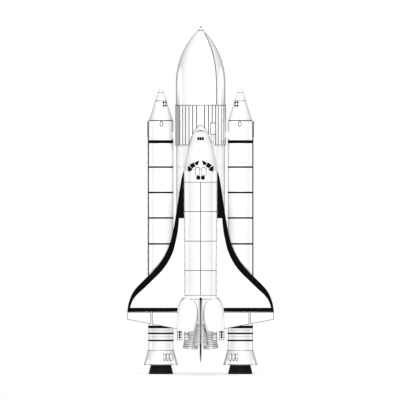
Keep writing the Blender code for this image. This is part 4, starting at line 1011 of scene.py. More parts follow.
def cable_tray():
    """The tray up the nose, with its clamps."""
    side = Vector((math.cos(TRAY_AZIMUTH), math.sin(TRAY_AZIMUTH), 0)) * TRAY_HALF
    rows = []
    for z in spread(TRAY_TOP_Z, INTERTANK_TOP_Z + 0.1, 44):
        inner, shoulder, outer = (on_tank(TRAY_AZIMUTH, ogive_radius(z) + lift, z)
                                  for lift in (-TRAY_SUNK, TRAY_PROUD * 0.75, TRAY_PROUD))
        rows.append([inner - side, inner + side, shoulder + side, outer + side * 0.5, outer - side * 0.5,
                     shoulder - side])
    tray = Shape().grid(rows, lambda r, c: "seam_grey" if c == 3 else "line_paint")
    turn = Matrix.Rotation(TRAY_AZIMUTH, 4, "Z")
    half = TRAY_HALF + 0.05
    for z in spread(*TRAY_CLAMPS_Z, 11):
        clamp = on_tank(TRAY_AZIMUTH, ogive_radius(z) + 0.04, z)
        strap = Shape().box((-half, -0.06, -0.05), (half, 0.10, 0.05), "seam_pale", 0.01)
        tray.add([clamp + turn @ point for point in strap.points], strap.faces, "seam_pale")
    dress(tray, "tank_cable_tray")


def tank_lines():
    """The cable tray, the oxygen line's fairing, and both feed lines with their umbilicals."""
    cable_tray()

    (left, front, base), (right, _, top) = FAIRING_LOW, FAIRING_HIGH
    edge = 0.12
    fairing = Shape().box(FAIRING_LOW, FAIRING_HIGH, "foam", 0.04)
    for x0, z0, x1, z1 in ((left, base, left + edge, top), (right - edge, base, right, top),
                           (left, base, right, base + edge), (left, top - edge, right, top)):
        fairing.box((x0, front - 0.012, z0), (x1, front + 0.06, z1), "seam_grey")
    dress(fairing, "feedline_fairing")

    x, z = FEEDLINE_X, UMBILICAL_Z
    y = -math.sqrt(FEEDLINE_STANDOFF ** 2 - x ** 2)
    route = bend((x, y, FAIRING_LOW[2] - GAP), (x, y, z), (x, UMBILICAL_BACK_Y - 0.1, z), 0.55)
    pipe = Shape().tube(route, FEEDLINE_R, "line_paint")
    for z in FEEDLINE_BRACKETS_Z:
        pipe.box((x - 0.12, y - 0.05, z - 0.10), (x + 0.12, y + 0.62, z + 0.10), "line_paint", 0.02)
        collar(pipe, (x, y, z), FEEDLINE_R, 0.24)
    for z in FEEDLINE_COLLARS_Z:
        collar(pipe, (x, y, z), FEEDLINE_R, 0.14)
    umbilical(pipe, 1)
    dress(pipe, "oxygen_feedline")

    x, y, z = -FEEDLINE_X, HYDROGEN_PIPE_Y, HYDROGEN_PIPE_Z
    route = bend((x, UMBILICAL_BACK_Y + 0.1, UMBILICAL_Z), (x, y, z), (x, HYDROGEN_END_Y, z), 0.5)
    pipe = Shape().tube(route, FEEDLINE_R, "line_paint")
    umbilical(pipe, -1)
    dress(pipe, "hydrogen_feedline")


def collar(shape, centre, radius, height):
    """A flange round an upright pipe."""
    x, y, z = centre
    half, proud = height / 2, radius + 0.035
    rows = [(radius, z + half), (proud, z + half - 0.02), (proud, z - half + 0.02), (radius, z - half)]
    shape.turned(rows, "seam_pale", centre=(x, y), steps=32)


def bend(start, corner, end, radius, steps=12):
    """Points of a pipe from start to end that turns at the corner through an arc."""
    start, corner, end = Vector(start), Vector(corner), Vector(end)
    first = corner + (start - corner).normalized() * radius
    last = corner + (end - corner).normalized() * radius
    points = [first.lerp(corner, t).lerp(corner.lerp(last, t), t) for t in spread(0.0, 1.0, steps)]
    return [start, *points, end]


def umbilical(shape, side):
    """The plate block between the tank's pipes and the orbiter's belly."""
    low, high = beside(side, FEEDLINE_X - UMBILICAL_HALF, FEEDLINE_X + UMBILICAL_HALF)
    base, top = UMBILICAL_Z - 0.45, UMBILICAL_Z + 0.45
    shape.box((low, BELLY_Y, base), (high, UMBILICAL_BACK_Y, top), "line_paint", 0.03)


def tank_links():
    """The forward bipod and the aft frame that carry the orbiter."""
    apex = Vector((0, BELLY_Y + 0.12, BIPOD_Z))
    half = Vector((0.16, 0.12, 0.16))
    bipod = Shape().box(apex - half, apex + half, "steel", 0.03)
    for side in (-1, 1):
        leg_end, low, high = (sided(side, point) for point in (BIPOD_LEG_END, *BIPOD_FOOT))
        bipod.rod(apex + Vector((0, 0.05, 0)), leg_end, 0.11, "steel", 0.15)
        bipod.rod(low, high, 0.26, "line_paint", 0.34)
    dress(bipod, "forward_bipod")

    y, z = BELLY_Y + 0.42, AFT_ATTACH_Z
    support = Shape().rod((-SUPPORT_HALF, y, z), (SUPPORT_HALF, y, z), 0.15, "steel")
    hub_profile = [(0.0, 0.0), (HUB_R, 0.0), (HUB_R, HUB_LENGTH), (0.0, HUB_LENGTH)]
    for side in (-1, 1):
        hub = Vector((side * HUB_X, y, z))
        support.rod(hub, (hub.x, BELLY_Y, z), 0.19, "steel")
        for stop, radius in SUPPORT_STRUTS:
            support.rod(hub, sided(side, stop), radius, "steel")
        start = hub - Vector((HUB_LENGTH / 2, 0, 0))
        place = Matrix.Translation(start) @ Matrix.Rotation(math.pi / 2, 4, "Y")
        support.turned(hub_profile, "steel", steps=32, place=place)
    dress(support, "aft_support_frame")


# Boosters

def booster(name, side):
    """One booster, from its nose cap to its nozzle; side is -1 on the left and 1 on the right."""
    centre = (side * BOOSTER_X, 0)
    cap = [*CAP_PROFILE, (CAP_LINE_R, CAP_LINE_Z + GAP, "paint"), (0.0, CAP_LINE_Z + GAP, "paint")]
    dress(Shape().turned(cap, centre=centre), f"booster_nose_{name}")
    frustum(name, side, centre)
    forward_skirt(name, side, centre)

    base = CASE_BASE_Z + GAP
    case = banded(base, FORWARD_SKIRT_BASE_Z, CASE_BANDS, BOOSTER_R, "paint")
    case = [(0.0, FORWARD_SKIRT_BASE_Z, "paint"), *case, (0.0, base, "paint")]
    dress(Shape().turned(case, centre=centre), f"booster_motor_{name}")

    near, far = BOOSTER_X + BOOSTER_R + GAP, BOOSTER_X + BOOSTER_R + TUNNEL_PROUD
    # The clamps stand out on the left and end inside the tunnel on the right
    clamp_end = far - 0.02 if side > 0 else far + TUNNEL_HEAD_PROUD
    # Ends of the span in x, half width, low and high z, look, bevel
    boxes = [(far, TUNNEL_HALF, AFT_ATTACH_Z + RING_HEIGHT / 2 + GAP, TUNNEL_TOP_Z, "seam_dark", 0.03),
             (far + TUNNEL_HEAD_PROUD, TUNNEL_HEAD_HALF, TUNNEL_HEAD_Z, TUNNEL_TOP_Z, "seam_grey", 0.04)]
    boxes += [(clamp_end, TUNNEL_CLAMP_HALF, z - 0.06, z + 0.06, "seam_grey", 0.01)
              for z in spread(*TUNNEL_CLAMPS_Z, 16)]
    tunnel = Shape()
    for end, half, z0, z1, look, bevel in boxes:
        low, high = beside(side, near, end)
        tunnel.box((low, -half, z0), (high, half, z1), look, bevel)
    dress(tunnel, f"booster_tunnel_{name}")

    attach_ring(name, side, centre)
    aft_skirt(name, side, centre)
    booster_nozzle(name, centre)


def frustum(name, side, centre):
    """The cone under the nose cap, with four motor ports on the orbiter's side."""
    slope = (FRUSTUM_BASE_R - CAP_LINE_R) / (CAP_LINE_Z - FRUSTUM_BASE_Z)

    def radius_at(z):
        return CAP_LINE_R + slope * (CAP_LINE_Z - z)

    base, line = FRUSTUM_BASE_Z + GAP, FRUSTUM_BASE_Z + 0.12
    cone = Shape().turned([(0.0, CAP_LINE_Z, "paint"), (CAP_LINE_R, CAP_LINE_Z, "paint"),
                           (radius_at(line), line, "seam_grey"), (FRUSTUM_BASE_R, base, "paint"),
                           (0.0, base, "paint")], centre=centre)
    for offset in FRUSTUM_PORT_X:
        for z in FRUSTUM_PORT_Z:
            x, radius = -side * offset, radius_at(z)
            y = -math.sqrt(radius ** 2 - x ** 2)
            dark_port(cone, (centre[0] + x, y, z), (x / radius, y / radius, slope), 0.19)
    dress(cone, f"booster_frustum_{name}")


def forward_skirt(name, side, centre):
    """The skirt above the motor, with its thrust fitting and an oval access plate."""
    top, base = FRUSTUM_BASE_Z, FORWARD_SKIRT_BASE_Z + GAP
    rows = [(0.0, top, "seam_grey"), (BOOSTER_R, top, "seam_grey"), (BOOSTER_R, top - 0.05, "paint"),
            (BOOSTER_R, base, "paint"), (0.0, base, "paint")]
    skirt = Shape().turned(rows, centre=centre)
    low, high = beside(side, INTERTANK_R + 0.01, BOOSTER_X - BOOSTER_R + 0.2)
    half, base, top = THRUST_FITTING
    skirt.box((low, -half, base), (high, half, top), "paint", 0.04)

    def onto(u, v, lift):
        radius = BOOSTER_R + lift
        return Vector((centre[0] + radius * math.sin(u / BOOSTER_R), -radius * math.cos(u / BOOSTER_R), v))

    offset, middle, half_width, half_height = OVAL_PLATE
    oval = [(half_width * math.cos(a) - side * offset, middle + half_height * math.sin(a))
            for a in spread(0, math.tau * 31 / 32, 31)]
    rim(skirt, oval, onto, "seam_dark", width=0.12, lift=0.03)
    dress(skirt, f"booster_forward_skirt_{name}")


def attach_ring(name, side, centre):
    """The ring and struts that hold the booster to the tank's foot."""
    top, base, inner = AFT_ATTACH_Z + RING_HEIGHT / 2, AFT_ATTACH_Z - RING_HEIGHT / 2, BOOSTER_R + GAP
    web = RING_R - 0.10
    profile = [(inner, top), (RING_R, top), (RING_R, top - 0.08), (web, top - 0.10), (web, base + 0.10),
               (RING_R, base + 0.08), (RING_R, base), (inner, base)]
    ring = Shape().turned(profile, "steel", centre=centre, loop=True)
    for y_booster, y_tank in ATTACH_STRUTS_Y:
        start = Vector((side * (BOOSTER_X - 1.45), y_booster, AFT_ATTACH_Z))
        end = Vector((side * math.sqrt(AFT_TANK_R ** 2 - y_tank ** 2), y_tank, AFT_ATTACH_Z))
        ring.rod(start + (end - start) * 0.03, end, 0.12, "steel")
        for t in (0.18, 0.9):
            ring.rod(start.lerp(end, t - 0.06), start.lerp(end, t + 0.06), 0.16, "seam_grey")
    dress(ring, f"booster_aft_attach_{name}")


def aft_skirt(name, side, centre):
    """The flared skirt with its four hold-down feet and three separation motors, each ringed with painted
    shade.
    """
    inner_r, foot_r = SKIRT_TOP_R - 0.35, SKIRT_BASE_R - SKIRT_WALL
    flare = [(SKIRT_TOP_R, CASE_BASE_Z, "seam_grey"), (SKIRT_TOP_R + 0.02, CASE_BASE_Z - 0.08, "paint"),
             (SKIRT_BASE_R - 0.04, SKIRT_LIP_Z + 0.01, "paint"), (SKIRT_BASE_R, SKIRT_LIP_Z, "seam_pale"),
             (SKIRT_BASE_R, SKIRT_BASE_Z, "paint"), (foot_r, SKIRT_BASE_Z, "paint"),
             (inner_r, CASE_BASE_Z - 0.2, "paint"), (inner_r, CASE_BASE_Z, "paint")]
    skirt = Shape().turned(flare, centre=centre, loop=True)
    for degrees in FEET_AZIMUTHS:
        angle = math.radians(degrees)
        x, y = centre[0] + FEET_R * math.cos(angle), FEET_R * math.sin(angle)
        skirt.box((x - 0.2, y - 0.2, SKIRT_BASE_Z), (x + 0.2, y + 0.2, SKIRT_BASE_Z + 0.7), "paint", 0.03)
    slope = (SKIRT_BASE_R - SKIRT_TOP_R) / (CASE_BASE_Z - SKIRT_BASE_Z)
    for offset in SKIRT_MOTOR_X:
        ends = []
        for z in SKIRT_MOTOR_Z:
            radius = SKIRT_TOP_R + slope * (CASE_BASE_Z - z) + SKIRT_MOTOR_PROUD
            ends.append(Vector((centre[0] - side * offset, -math.sqrt(radius ** 2 - offset ** 2), z)))
        inwards = Vector((side * offset, SKIRT_TOP_R, 0)).normalized() * SKIRT_MOTOR_SINK
        capsule(skirt, *ends, SKIRT_MOTOR_R, "paint", "seam_grey")
        # A wider dark capsule sunk into the skirt shows as a dark ring round the motor: painted shade where
        # it meets the skirt
        seat = [end + inwards for end in ends]
        capsule(skirt, *seat, SKIRT_MOTOR_R + SKIRT_MOTOR_SHADE_RIM, "seam_dark", "seam_dark")
        nozzle = ends[1] + (ends[1] - ends[0]).normalized() * SKIRT_MOTOR_R * 0.7
        skirt.rod(nozzle, nozzle + Vector((0, -0.06, -0.14)), 0.10, "seam_dark", 0.15)
    dress(skirt, f"booster_aft_skirt_{name}")


def capsule(shape, start, end, radius, look, line):
    """A round bar between two points with ball ends, and a line round each end."""
    length = (end - start).length
    quarter = spread(0.0, math.pi / 2, 8)
    rows = [(radius * math.sin(a), -radius * math.cos(a), look) for a in quarter[:-1]]
    rows += [(radius, 0.0, line), (radius, 0.05, look), (radius, length - 0.05, line), (radius, length, look)]
    rows += [(radius * math.cos(a), length + radius * math.sin(a), look) for a in quarter[1:]]
    shape.turned(rows, steps=32, place=aligned(start, end - start))


def booster_nozzle(name, centre):
    top = CASE_BASE_Z - 0.5
    read = reader(((top, NOZZLE_TOP_R), (2.6, 1.30), (SKIRT_BASE_Z, 1.62), (0.0, NOZZLE_EXIT_R)))
    rows = [(NOZZLE_TOP_R, CASE_BASE_Z - GAP, "nozzle_black")]
    rows += [(read(z, 1), z, "nozzle_black") for z in spread(top, 0.0, 24)]
    rows += [(read(z, 1) - NOZZLE_WALL, z, "nozzle_inside") for z in spread(0.0, top, 24)]
    rows.append((NOZZLE_TOP_R - NOZZLE_WALL, CASE_BASE_Z - GAP, "nozzle_inside"))
    nozzle = Shape().turned(rows, centre=centre, loop=True)
    for z in (0.95, 1.35):
        hoop(nozzle, read(z, 1), z, NOZZLE_HOOP, "nozzle_black", centre=centre)
    dress(nozzle, f"booster_nozzle_{name}")


# Orbiter fuselage

FORWARD = reader(FORWARD_SECTIONS)


def spring_h(top, bottom):
    """Height at which a frame's round back begins."""
    return min(0.0, top - (top - bottom) * 0.42)


def body_section(z, half, top, bottom, corner, grow=0.0, tilt=None):
    """A fuselage frame: an elliptic back, upright sides and a flat belly with round corners."""
    half, top, bottom = half + grow, top + grow, bottom - grow
    spring = spring_h(top, bottom)
    points = [(half * math.cos(a), spring + (top - spring) * math.sin(a)) for a in spread(0.0, math.pi, 48)]
    for side, start in ((-1, math.pi), (1, 1.5 * math.pi)):
        points += arc(start, start + math.pi / 2, 8, corner, side * (half - corner), bottom + corner)
    return [orb(x, h, tilt(h) if tilt else z) for x, h in points]


def forward_frame(z, grow=0.0):
    return body_section(z, *(FORWARD(z, column) for column in (1, 2, 3, 4)), grow=grow)


def forward_skin(x, z, lift):
    """A point on the forward fuselage's back, with a lift along its rough normal."""
    half, top, bottom = (FORWARD(z, column) for column in (1, 2, 3))
    spring = spring_h(top, bottom)
    share = min(1.0, abs(x) / half)
    h = spring + (top - spring) * math.sqrt(1 - share ** 2)
    normal = Vector((x / half ** 2, (h - spring) / max(0.05, top - spring) ** 2)).normalized()
    return Vector(orb(x + normal.x * lift, h + normal.y * lift, z))


def prism(outline, low_y, high_y, look):
    return Shape().grid([[(x, y, z) for x, z in outline] for y in (low_y, high_y)], look).mesh("prism")


def cylinder(start, end, radius, look):
    return Shape().rod(start, end, radius, look, steps=64).mesh("cylinder")


def mirrored(outline, side):
    return [(side * x, z) for x, z in outline]


def forward_loft(heights, look):
    """The forward fuselage's skin, with a dark arc where the grey cap meets the tiles."""
    rows = [forward_frame(z) for z in heights]

    def of_face(r, c):
        x, y, z = rows[r][c]
        middle = NOSE_ARC_Z - NOSE_ARC_FALL * x ** 2
        half = NOSE_ARC_HALF * (1 - (x / NOSE_ARC_REACH) ** 2)
        return "seam_grey" if y < -(REF_Y + NOSE_TIP_H) and abs(z - middle) < half else look

    return Shape().grid(rows, of_face)


def forward_fuselage():
    """The nose cap, and the cabin's shell with its windows, ports and panes."""
    tip_z, round_z = FORWARD_SECTIONS[0][0], NOSE_CAP_Z + 0.40
    heights = [round_z + (tip_z - round_z) * math.sin(a) for a in spread(math.pi / 2, 0.0, 16)]
    heights += spread(round_z, NOSE_CAP_Z, 10)[1:]
    dress(forward_loft(heights, "nose_grey"), "nose_cap")

    fine_z = NOSE_CAP_Z - 0.32
    heights = spread(NOSE_CAP_Z - GAP, fine_z, 8) + spread(fine_z, BAY_FORE_Z + GAP, 60)[1:]
    skin = forward_loft(heights, "tile_white")
    inside = Shape().grid([forward_frame(z, -SHELL) for z in spread(CABIN_FORE_Z, CABIN_AFT_Z, 44)], "trim")
    tools = [("DIFFERENCE", inside.mesh("cabin_space"))]
    for side in (-1, 1):
        for outline, cut_h, cut_look, *_ in WINDOWS:
            cut = prism(mirrored(outline, side), -(REF_Y + 3.4), -(REF_Y + cut_h), cut_look)
            tools.append(("DIFFERENCE", cut))
    hatch = [Vector(orb(x, HATCH_H, HATCH_Z)) for x in HATCH_REACH]
    tools.append(("DIFFERENCE", cylinder(*hatch, HATCH_R, "seam_dark")))
    finished("forward_fuselage_fine", boolean(skin.mesh("forward_skin"), tools), ("forward_fuselage",))

    trim = Shape()
    for x in NOSE_PORT_X:
        for z in NOSE_PORT_Z:
            place = forward_skin(x, z, 0.0)
            out = forward_skin(x, z, 1.0) - place + Vector((0, 0, 0.25))
            dark_port(trim, place, out, 0.18)
    glazing = {"windshield": Shape(), "overhead_glass": Shape()}
    for side in (-1, 1):
        for outline, _, _, rim_look, width, glass, glass_look in WINDOWS:
            rim(trim, mirrored(outline, side), forward_skin, rim_look, width=width)
            pane_on(glazing[glass], mirrored(outline, side), glass_look)
        for z, h in SIDE_PORTS:
            place = orb(side * FORWARD(z, 1) * 0.995, h, z)
            port(trim, place, (side, -0.25, 0.25), 0.12, "seam_dark", "band_black")
    fittings = scaled("nose_fittings", trim.mesh("nose_fittings"))
    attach(fittings, BODY_OF["forward_fuselage"])
    for name, glass in glazing.items():
        dress(glass, name)
    crew_hatch(hatch)
    flight_deck()


def crew_hatch(reach):
    """The round leaf cut from the skin, with its hinge and its window."""
    skin = Shape().grid([forward_frame(z) for z in spread(*HATCH_SKIN_Z, 24)], "tile_white")
    inside = Shape().grid([forward_frame(z, -SHELL) for z in spread(*HATCH_SPACE_Z, 24)], "trim")
    plug = cylinder(*reach, HATCH_R - HATCH_GAP, "seam_dark")
    tools = [("DIFFERENCE", inside.mesh("hatch_inside")), ("INTERSECT", plug)]
    leaf = boolean(skin.mesh("hatch_skin"), tools)
    half = between(FORWARD_SECTIONS, HATCH_Z - HATCH_BARREL_HALF, 1)
    hinge = Vector(orb(-(half + HATCH_BARREL_R + GAP), HATCH_H - HATCH_R - HATCH_BARREL_R, HATCH_Z))
    fittings = Shape()
    for ends in HATCH_BARRELS:
        low, high = (hinge + Vector((0, 0, z)) for z in ends)
        fittings.rod(low, high, HATCH_BARREL_R - 0.014, "steel")
    fittings.box(hinge + Vector((-0.02, -0.22, -0.10)), hinge + Vector((0.05, 0, 0.10)), "steel", 0.01)
    window = orb(-FORWARD(HATCH_Z, 1) + 0.004, HATCH_H, HATCH_Z)
    port(fittings, window, (-1, 0, 0), 0.13, "seam_grey", "glass_dark")
    add_meshes("crew_hatch_fine", (leaf, fittings.mesh("hatch_fittings")), ("crew_hatch",))


def flight_deck():
    """Floor, instrument panel and two seats behind the windows."""
    boxes = [
        # middle x, half width, h from and to, z from and to, look, bevel
        (0, 1.9, -0.15, -0.25, CABIN_AFT_Z + GAP, 35.0, "trim", 0.02),
        (0, 1.3, 0.45, -0.16, 34.0, 34.3, "trim", 0.06),
    ]
    boxes += [(x, 0.17, 0.40, 0.10, 33.97, 34.01, "glass_dark", 0.01) for x in spread(-0.96, 0.96, 4)]
    for x in (-0.75, 0.75):
        boxes += [(x, 0.28, 0.15, -0.02, 32.7, 33.4, "seam_grey", 0.06),
                  (x, 0.28, 0.9, 0.1, 32.68, 32.88, "seam_grey", 0.06),
                  (x, 0.1, -0.02, -0.16, 32.85, 33.25, "steel", 0.02)]
    deck = Shape()
    for x, half, h0, h1, z0, z1, look, bevel in boxes:
        deck.box(orb(x - half, h0, z0), orb(x + half, h1, z1), look, bevel)
    dress(deck, "flight_deck")


def payload_bay():
    """The trough of the mid fuselage, with frames and a padded lining."""
    a = SILL_ANGLE
    right = arc(a, 0.0, 2, BODY_R)
    right += arc(0.0, -math.pi / 2, 8, BELLY_CORNER_R, BODY_R - BELLY_CORNER_R, BELLY_H + BELLY_CORNER_R)
    left = [(-x, h) for x, h in reversed(right)]
    outline = right + left + arc(math.pi - a, math.tau + a, 64, BAY_R)
    skin_end = 2 * len(right)

    def look(r, c):
        if c < skin_end - 1:
            return "tile_white"
        return "liner" if skin_end <= c < len(outline) - 1 else "seam_grey"

    rows = [[orb(x, h, z) for x, h in outline] for z in spread(BAY_FORE_Z, BAY_AFT_Z, 40)]
    trough = Shape().grid(rows, look)
    outer, inner = BAY_R + 0.02, BAY_R - 0.07
    for z in spread(BAY_FORE_Z - 0.5, BAY_AFT_Z + 0.5, 12):
        section = ((outer, z + 0.06), (inner, z + 0.06), (inner, z - 0.06), (outer, z - 0.06))
        trough.grid([[orb(radius * math.cos(t), radius * math.sin(t), at) for radius, at in section]
                     for t in spread(math.pi, math.tau, 40)], "seam_pale")
    for x in (-2.24, 2.24):
        trough.box(orb(x - 0.05, 0.34, BAY_AFT_Z + 0.3), orb(x + 0.05, 0.22, BAY_FORE_Z - 0.3), "steel", 0.01)
    dress(trough, "mid_fuselage")


def bay_door(name, side):
    """A bay door with its seams, hinge barrels and the radiators inside."""
    fore, aft = BAY_FORE_Z - MOVING_GAP, BAY_AFT_Z + MOVING_GAP
    start, stop = SILL_ANGLE + GAP / BODY_R, math.pi / 2 - MOVING_GAP / BODY_R
    edge = SEAM / 2 / BODY_R
    angles = [start, start + edge] + spread(start + 2 * edge, stop - 2 * edge, 22) + [stop - edge, stop]
    last = len(angles) - 1
    heights, seams = [fore, fore - SEAM * 0.7], {0}
    for z in DOOR_SEAMS:
        heights += spread(heights[-1], z + SEAM / 2, 3)[1:]
        seams.add(len(heights) - 1)
        heights.append(z - SEAM / 2)
    heights += spread(heights[-1], aft + SEAM * 0.7, 3)[1:] + [aft]
    seams.add(len(heights) - 2)

    def curved(z, outer, inner, turns):
        """A closed section of a curved plate at a height z."""
        return [orb(side * radius * math.cos(t), radius * math.sin(t), z)
                for radius, way in ((outer, turns), (inner, turns[::-1])) for t in way]

    def look(r, c):
        if c >= last:
            return "seam_pale"
        if r in seams or c == last - 1:
            return "seam_dark"
        return "seam_grey" if c == 0 else "tile_white"

    inner_r = BODY_R - DOOR_THICKNESS
    door = Shape().grid([curved(z, BODY_R, inner_r, angles) for z in heights], look)
    length = (fore - aft) / RADIATORS
    turns = spread(start + RADIATOR_MARGIN_ANGLE, stop - RADIATOR_MARGIN_ANGLE, 16)
    for index in range(RADIATORS):
        top = fore - length * index - RADIATOR_MARGIN_Z
        ends = (top, top - length + 2 * RADIATOR_MARGIN_Z)
        door.grid([curved(z, inner_r + 0.01, inner_r - 0.05, turns) for z in ends], "radiator")
    hinge_r = BODY_R + DOOR_HINGE_OUT
    x, h = side * hinge_r * math.cos(SILL_ANGLE), hinge_r * math.sin(SILL_ANGLE)
    for z in spread(aft + DOOR_BARREL_MARGIN, fore - DOOR_BARREL_MARGIN, 12):
        ends = (orb(x, h, z + way * DOOR_BARREL_HALF) for way in (-1, 1))
        door.rod(*ends, DOOR_BARREL_R, "seam_pale", steps=16)
    dress(door, f"bay_door_{name}")


def base_z(h):
    """The slanted rear face of the fuselage."""
    return BASE_Z + BASE_SLOPE * (h - BASE_REF_H)


def aft_shape(grow, look, reach=None):
    """The rear fuselage, or with a reach the tool that runs on down to that height z."""
    def rear(h):
        return base_z(h) if reach is None else reach

    rows = [body_section(BAY_AFT_Z - GAP + grow, BODY_R, BODY_R, BELLY_H, BELLY_CORNER_R, grow=grow)]
    for z in AFT_FRAMES_Z:
        top = BODY_R + (AFT_MIDDLE_TOP_H - BODY_R) * (BAY_AFT_Z - z) / (BAY_AFT_Z - AFT_MIDDLE_Z)
        rows.append(body_section(z, BODY_R, top, BELLY_H, BELLY_CORNER_R, grow=grow))
    rows.append(body_section(0, BODY_R, AFT_REAR_TOP_H, BELLY_H, BELLY_CORNER_R, grow=grow, tilt=rear))
    return Shape().grid(rows, look)


def deck_h(x, z):
    """Height of the rear fuselage's back at a distance x from its middle."""
    share = min(1.0, (BAY_AFT_Z - z) / (BAY_AFT_Z - AFT_MIDDLE_Z))
    top = BODY_R + (AFT_MIDDLE_TOP_H - BODY_R) * share - max(0.0, AFT_MIDDLE_Z - z) * AFT_TOP_SLOPE
    return top * math.sqrt(1 - (x / BODY_R) ** 2)


def seated(shape, name):
    """A shape's mesh, cut where it would run into the rear fuselage."""
    seat = aft_shape(GAP, "seam_grey", SEAT_REACH)
    return boolean(shape.mesh(name), [("DIFFERENCE", seat.mesh("seat"))])


def engine_turn(pitch, cant):
    """Turns an engine that points down by its pitch towards the back and its cant outwards."""
    return Matrix.Rotation(math.radians(-cant), 4, "Y") @ Matrix.Rotation(math.radians(-pitch), 4, "X")


def aft_fuselage():
    """The rear fuselage with its bulkhead, the flap's notch and the engines' pockets and gimbal posts."""
    shape = aft_shape(0.0, lambda r, c: "seam_dark" if r == 1 else "tile_white")
    shape.looks[-1] = "shield"
    z, h = FLAP_HINGE
    half = FLAP_HALF_WIDTH + 0.03
    notch = Shape().box(orb(-half, h + FLAP_R + 0.06, z - 2.0), orb(half, h - FLAP_R - 0.5, z + FLAP_R + GAP),
                        "nozzle_inside")
    tools = [("DIFFERENCE", notch.mesh("notch"))]
    front, back = BAY_AFT_Z + BULKHEAD_DEPTH, BAY_AFT_Z - 0.02
    fittings = Shape().turned([(0.0, front), (BULKHEAD_R - 0.03, front), (BULKHEAD_R, front - 0.03),
                               (BULKHEAD_R, back), (0.0, back)], "liner", centre=(0, -REF_Y))
    radius = DOME_R + POCKET_GAP
    for _, x, height, depth, pitch, cant in ENGINES:
        pivot = Vector(orb(x, height, depth))
        ball = [(radius * math.sin(t), radius * math.cos(t)) for t in spread(0.0, math.pi, 24)]
        pocket = Shape().turned(ball, "shield", steps=48, place=Matrix.Translation(pivot))
        tools.append(("DIFFERENCE", pocket.mesh("pocket")))
        along = engine_turn(pitch, cant) @ Vector((0, 0, 1))
        fittings.rod(pivot + along * (GIMBAL_R + 0.01), pivot + along * (DOME_R + 0.2), 0.05, "steel", 0.25)
        pocket_ring(fittings, pivot, height)
    body = boolean(shape.mesh("aft_body"), tools)
    add_meshes("aft_fuselage_fine", (body, fittings.mesh("aft_fittings")), ("aft_fuselage",))


def pocket_ring(shape, pivot, h):
    """A ring on the slanted rear face round an engine's pocket."""
    slope = Vector((0, BASE_SLOPE, 1)).normalized()
    reach = (pivot - Vector((pivot.x, pivot.y, base_z(h)))).dot(slope)
    inner = math.sqrt((DOME_R + POCKET_GAP) ** 2 - reach ** 2) + 0.01
    profile = ((inner, 0.02), (inner, -0.035), (inner + 0.09, -0.035), (inner + 0.11, 0.02))
    shape.turned(profile, "seam_pale", steps=64, place=aligned(pivot - slope * reach, slope), loop=True)


def add_meshes(name, meshes, nodes):
    """Several meshes as one piece, with their materials kept."""
    looks = list(dict.fromkeys(material.name for mesh in meshes for material in mesh.materials))
    work = bmesh.new()
    for mesh in meshes:
        start = len(work.faces)
        own = [material.name for material in mesh.materials]
        work.from_mesh(mesh)
        work.faces.ensure_lookup_table()
        for face in work.faces[start:]:
            face.material_index = looks.index(own[face.material_index])
    made = bpy.data.meshes.new(name)
    work.to_mesh(made)
    work.free()
    for look in looks:
        made.materials.append(bpy.data.materials[look])
    finished(name, made, nodes)


def body_flap():
    z, h = FLAP_HINGE
    points = arc(math.pi / 2, -math.pi / 2, 24, FLAP_R, z, h)
    points += [(FLAP_END_Z, h - FLAP_R + 0.02), (FLAP_END_Z, h - FLAP_R + 0.08)]
    rows = [[orb(x, height, depth) for depth, height in points]
            for x in spread(-FLAP_HALF_WIDTH, FLAP_HALF_WIDTH, 20)]
    dress(Shape().grid(rows, "tile_black"), "body_flap")


# Wings

def fine_plan():
    """The wing's plan at close steps: height z, leading edge x, inner edge x of the dark strip."""
    edge = reader([(z, x) for z, x, inner in WING_PLAN])
    strip_edge = reader([(z, inner) for z, x, inner in WING_PLAN if z <= GLOVE_Z])
    top_z, _, top_inner = WING_PLAN[0]
    rows = [(z, edge(z, 1), top_inner) for z in spread(top_z, GLOVE_Z + GLOVE_STEP, 36)]
    heights = spread(GLOVE_Z, BAND_Z, 80) + spread(BAND_Z, HINGE_Z, 6)[1:]
    return rows + [(z, edge(z, 1), strip_edge(z, 1)) for z in heights]


PLAN = fine_plan()


def between(table, value, column):
    """Linear reading of a column from rows that run down in their first column."""
    for upper, lower in zip(table, table[1:]):
        if value >= lower[0]:
            t = min(1.0, max(0.0, (upper[0] - value) / max(1e-9, upper[0] - lower[0])))
            return upper[column] + t * (lower[column] - upper[column])
    return table[-1][column]


def wing_base(x):
    return WING_BASE_H + (x - BODY_R) * DIHEDRAL


def hinge_radius(x):
    return HINGE_R_ROOT + (HINGE_R_TIP - HINGE_R_ROOT) * (x - BODY_R) / (WING_TIP_X - BODY_R)


def leading_z(x):
    """Height z of the leading edge at a place along the span."""
    for inner, outer in zip(PLAN, PLAN[1:]):
        if x <= outer[1]:
            t = max(0.0, (x - inner[1]) / max(1e-9, outer[1] - inner[1]))
            return inner[0] + t * (outer[0] - inner[0])
    return PLAN[-1][0]


def trailing_z(x):
    return TRAILING_EDGE_ROOT[1] + TRAILING_EDGE_SLOPE * (x - TRAILING_EDGE_ROOT[0])


def wing_skin(x, z):
    """Lower and upper h of the wing at a place: round in front, and twice the hinge radius at the hinge."""
    front = leading_z(x)
    share = min(1.0, max(0.0, (front - z) / max(0.5, front - HINGE_Z)))
    radius = hinge_radius(x)
    thick = min(WING_T_ROOT, WING_T_RATIO * (front - trailing_z(x)))
    depth = 2 * radius * share + 4 * max(0.0, thick - 0.5 * radius) * (math.sqrt(share) - share)
    lift = NOSE_LIFT * thick * (1 - min(1.0, share / NOSE_SHARE)) ** 2
    low = wing_base(x) + lift
    return low, low + max(depth, 0.02)


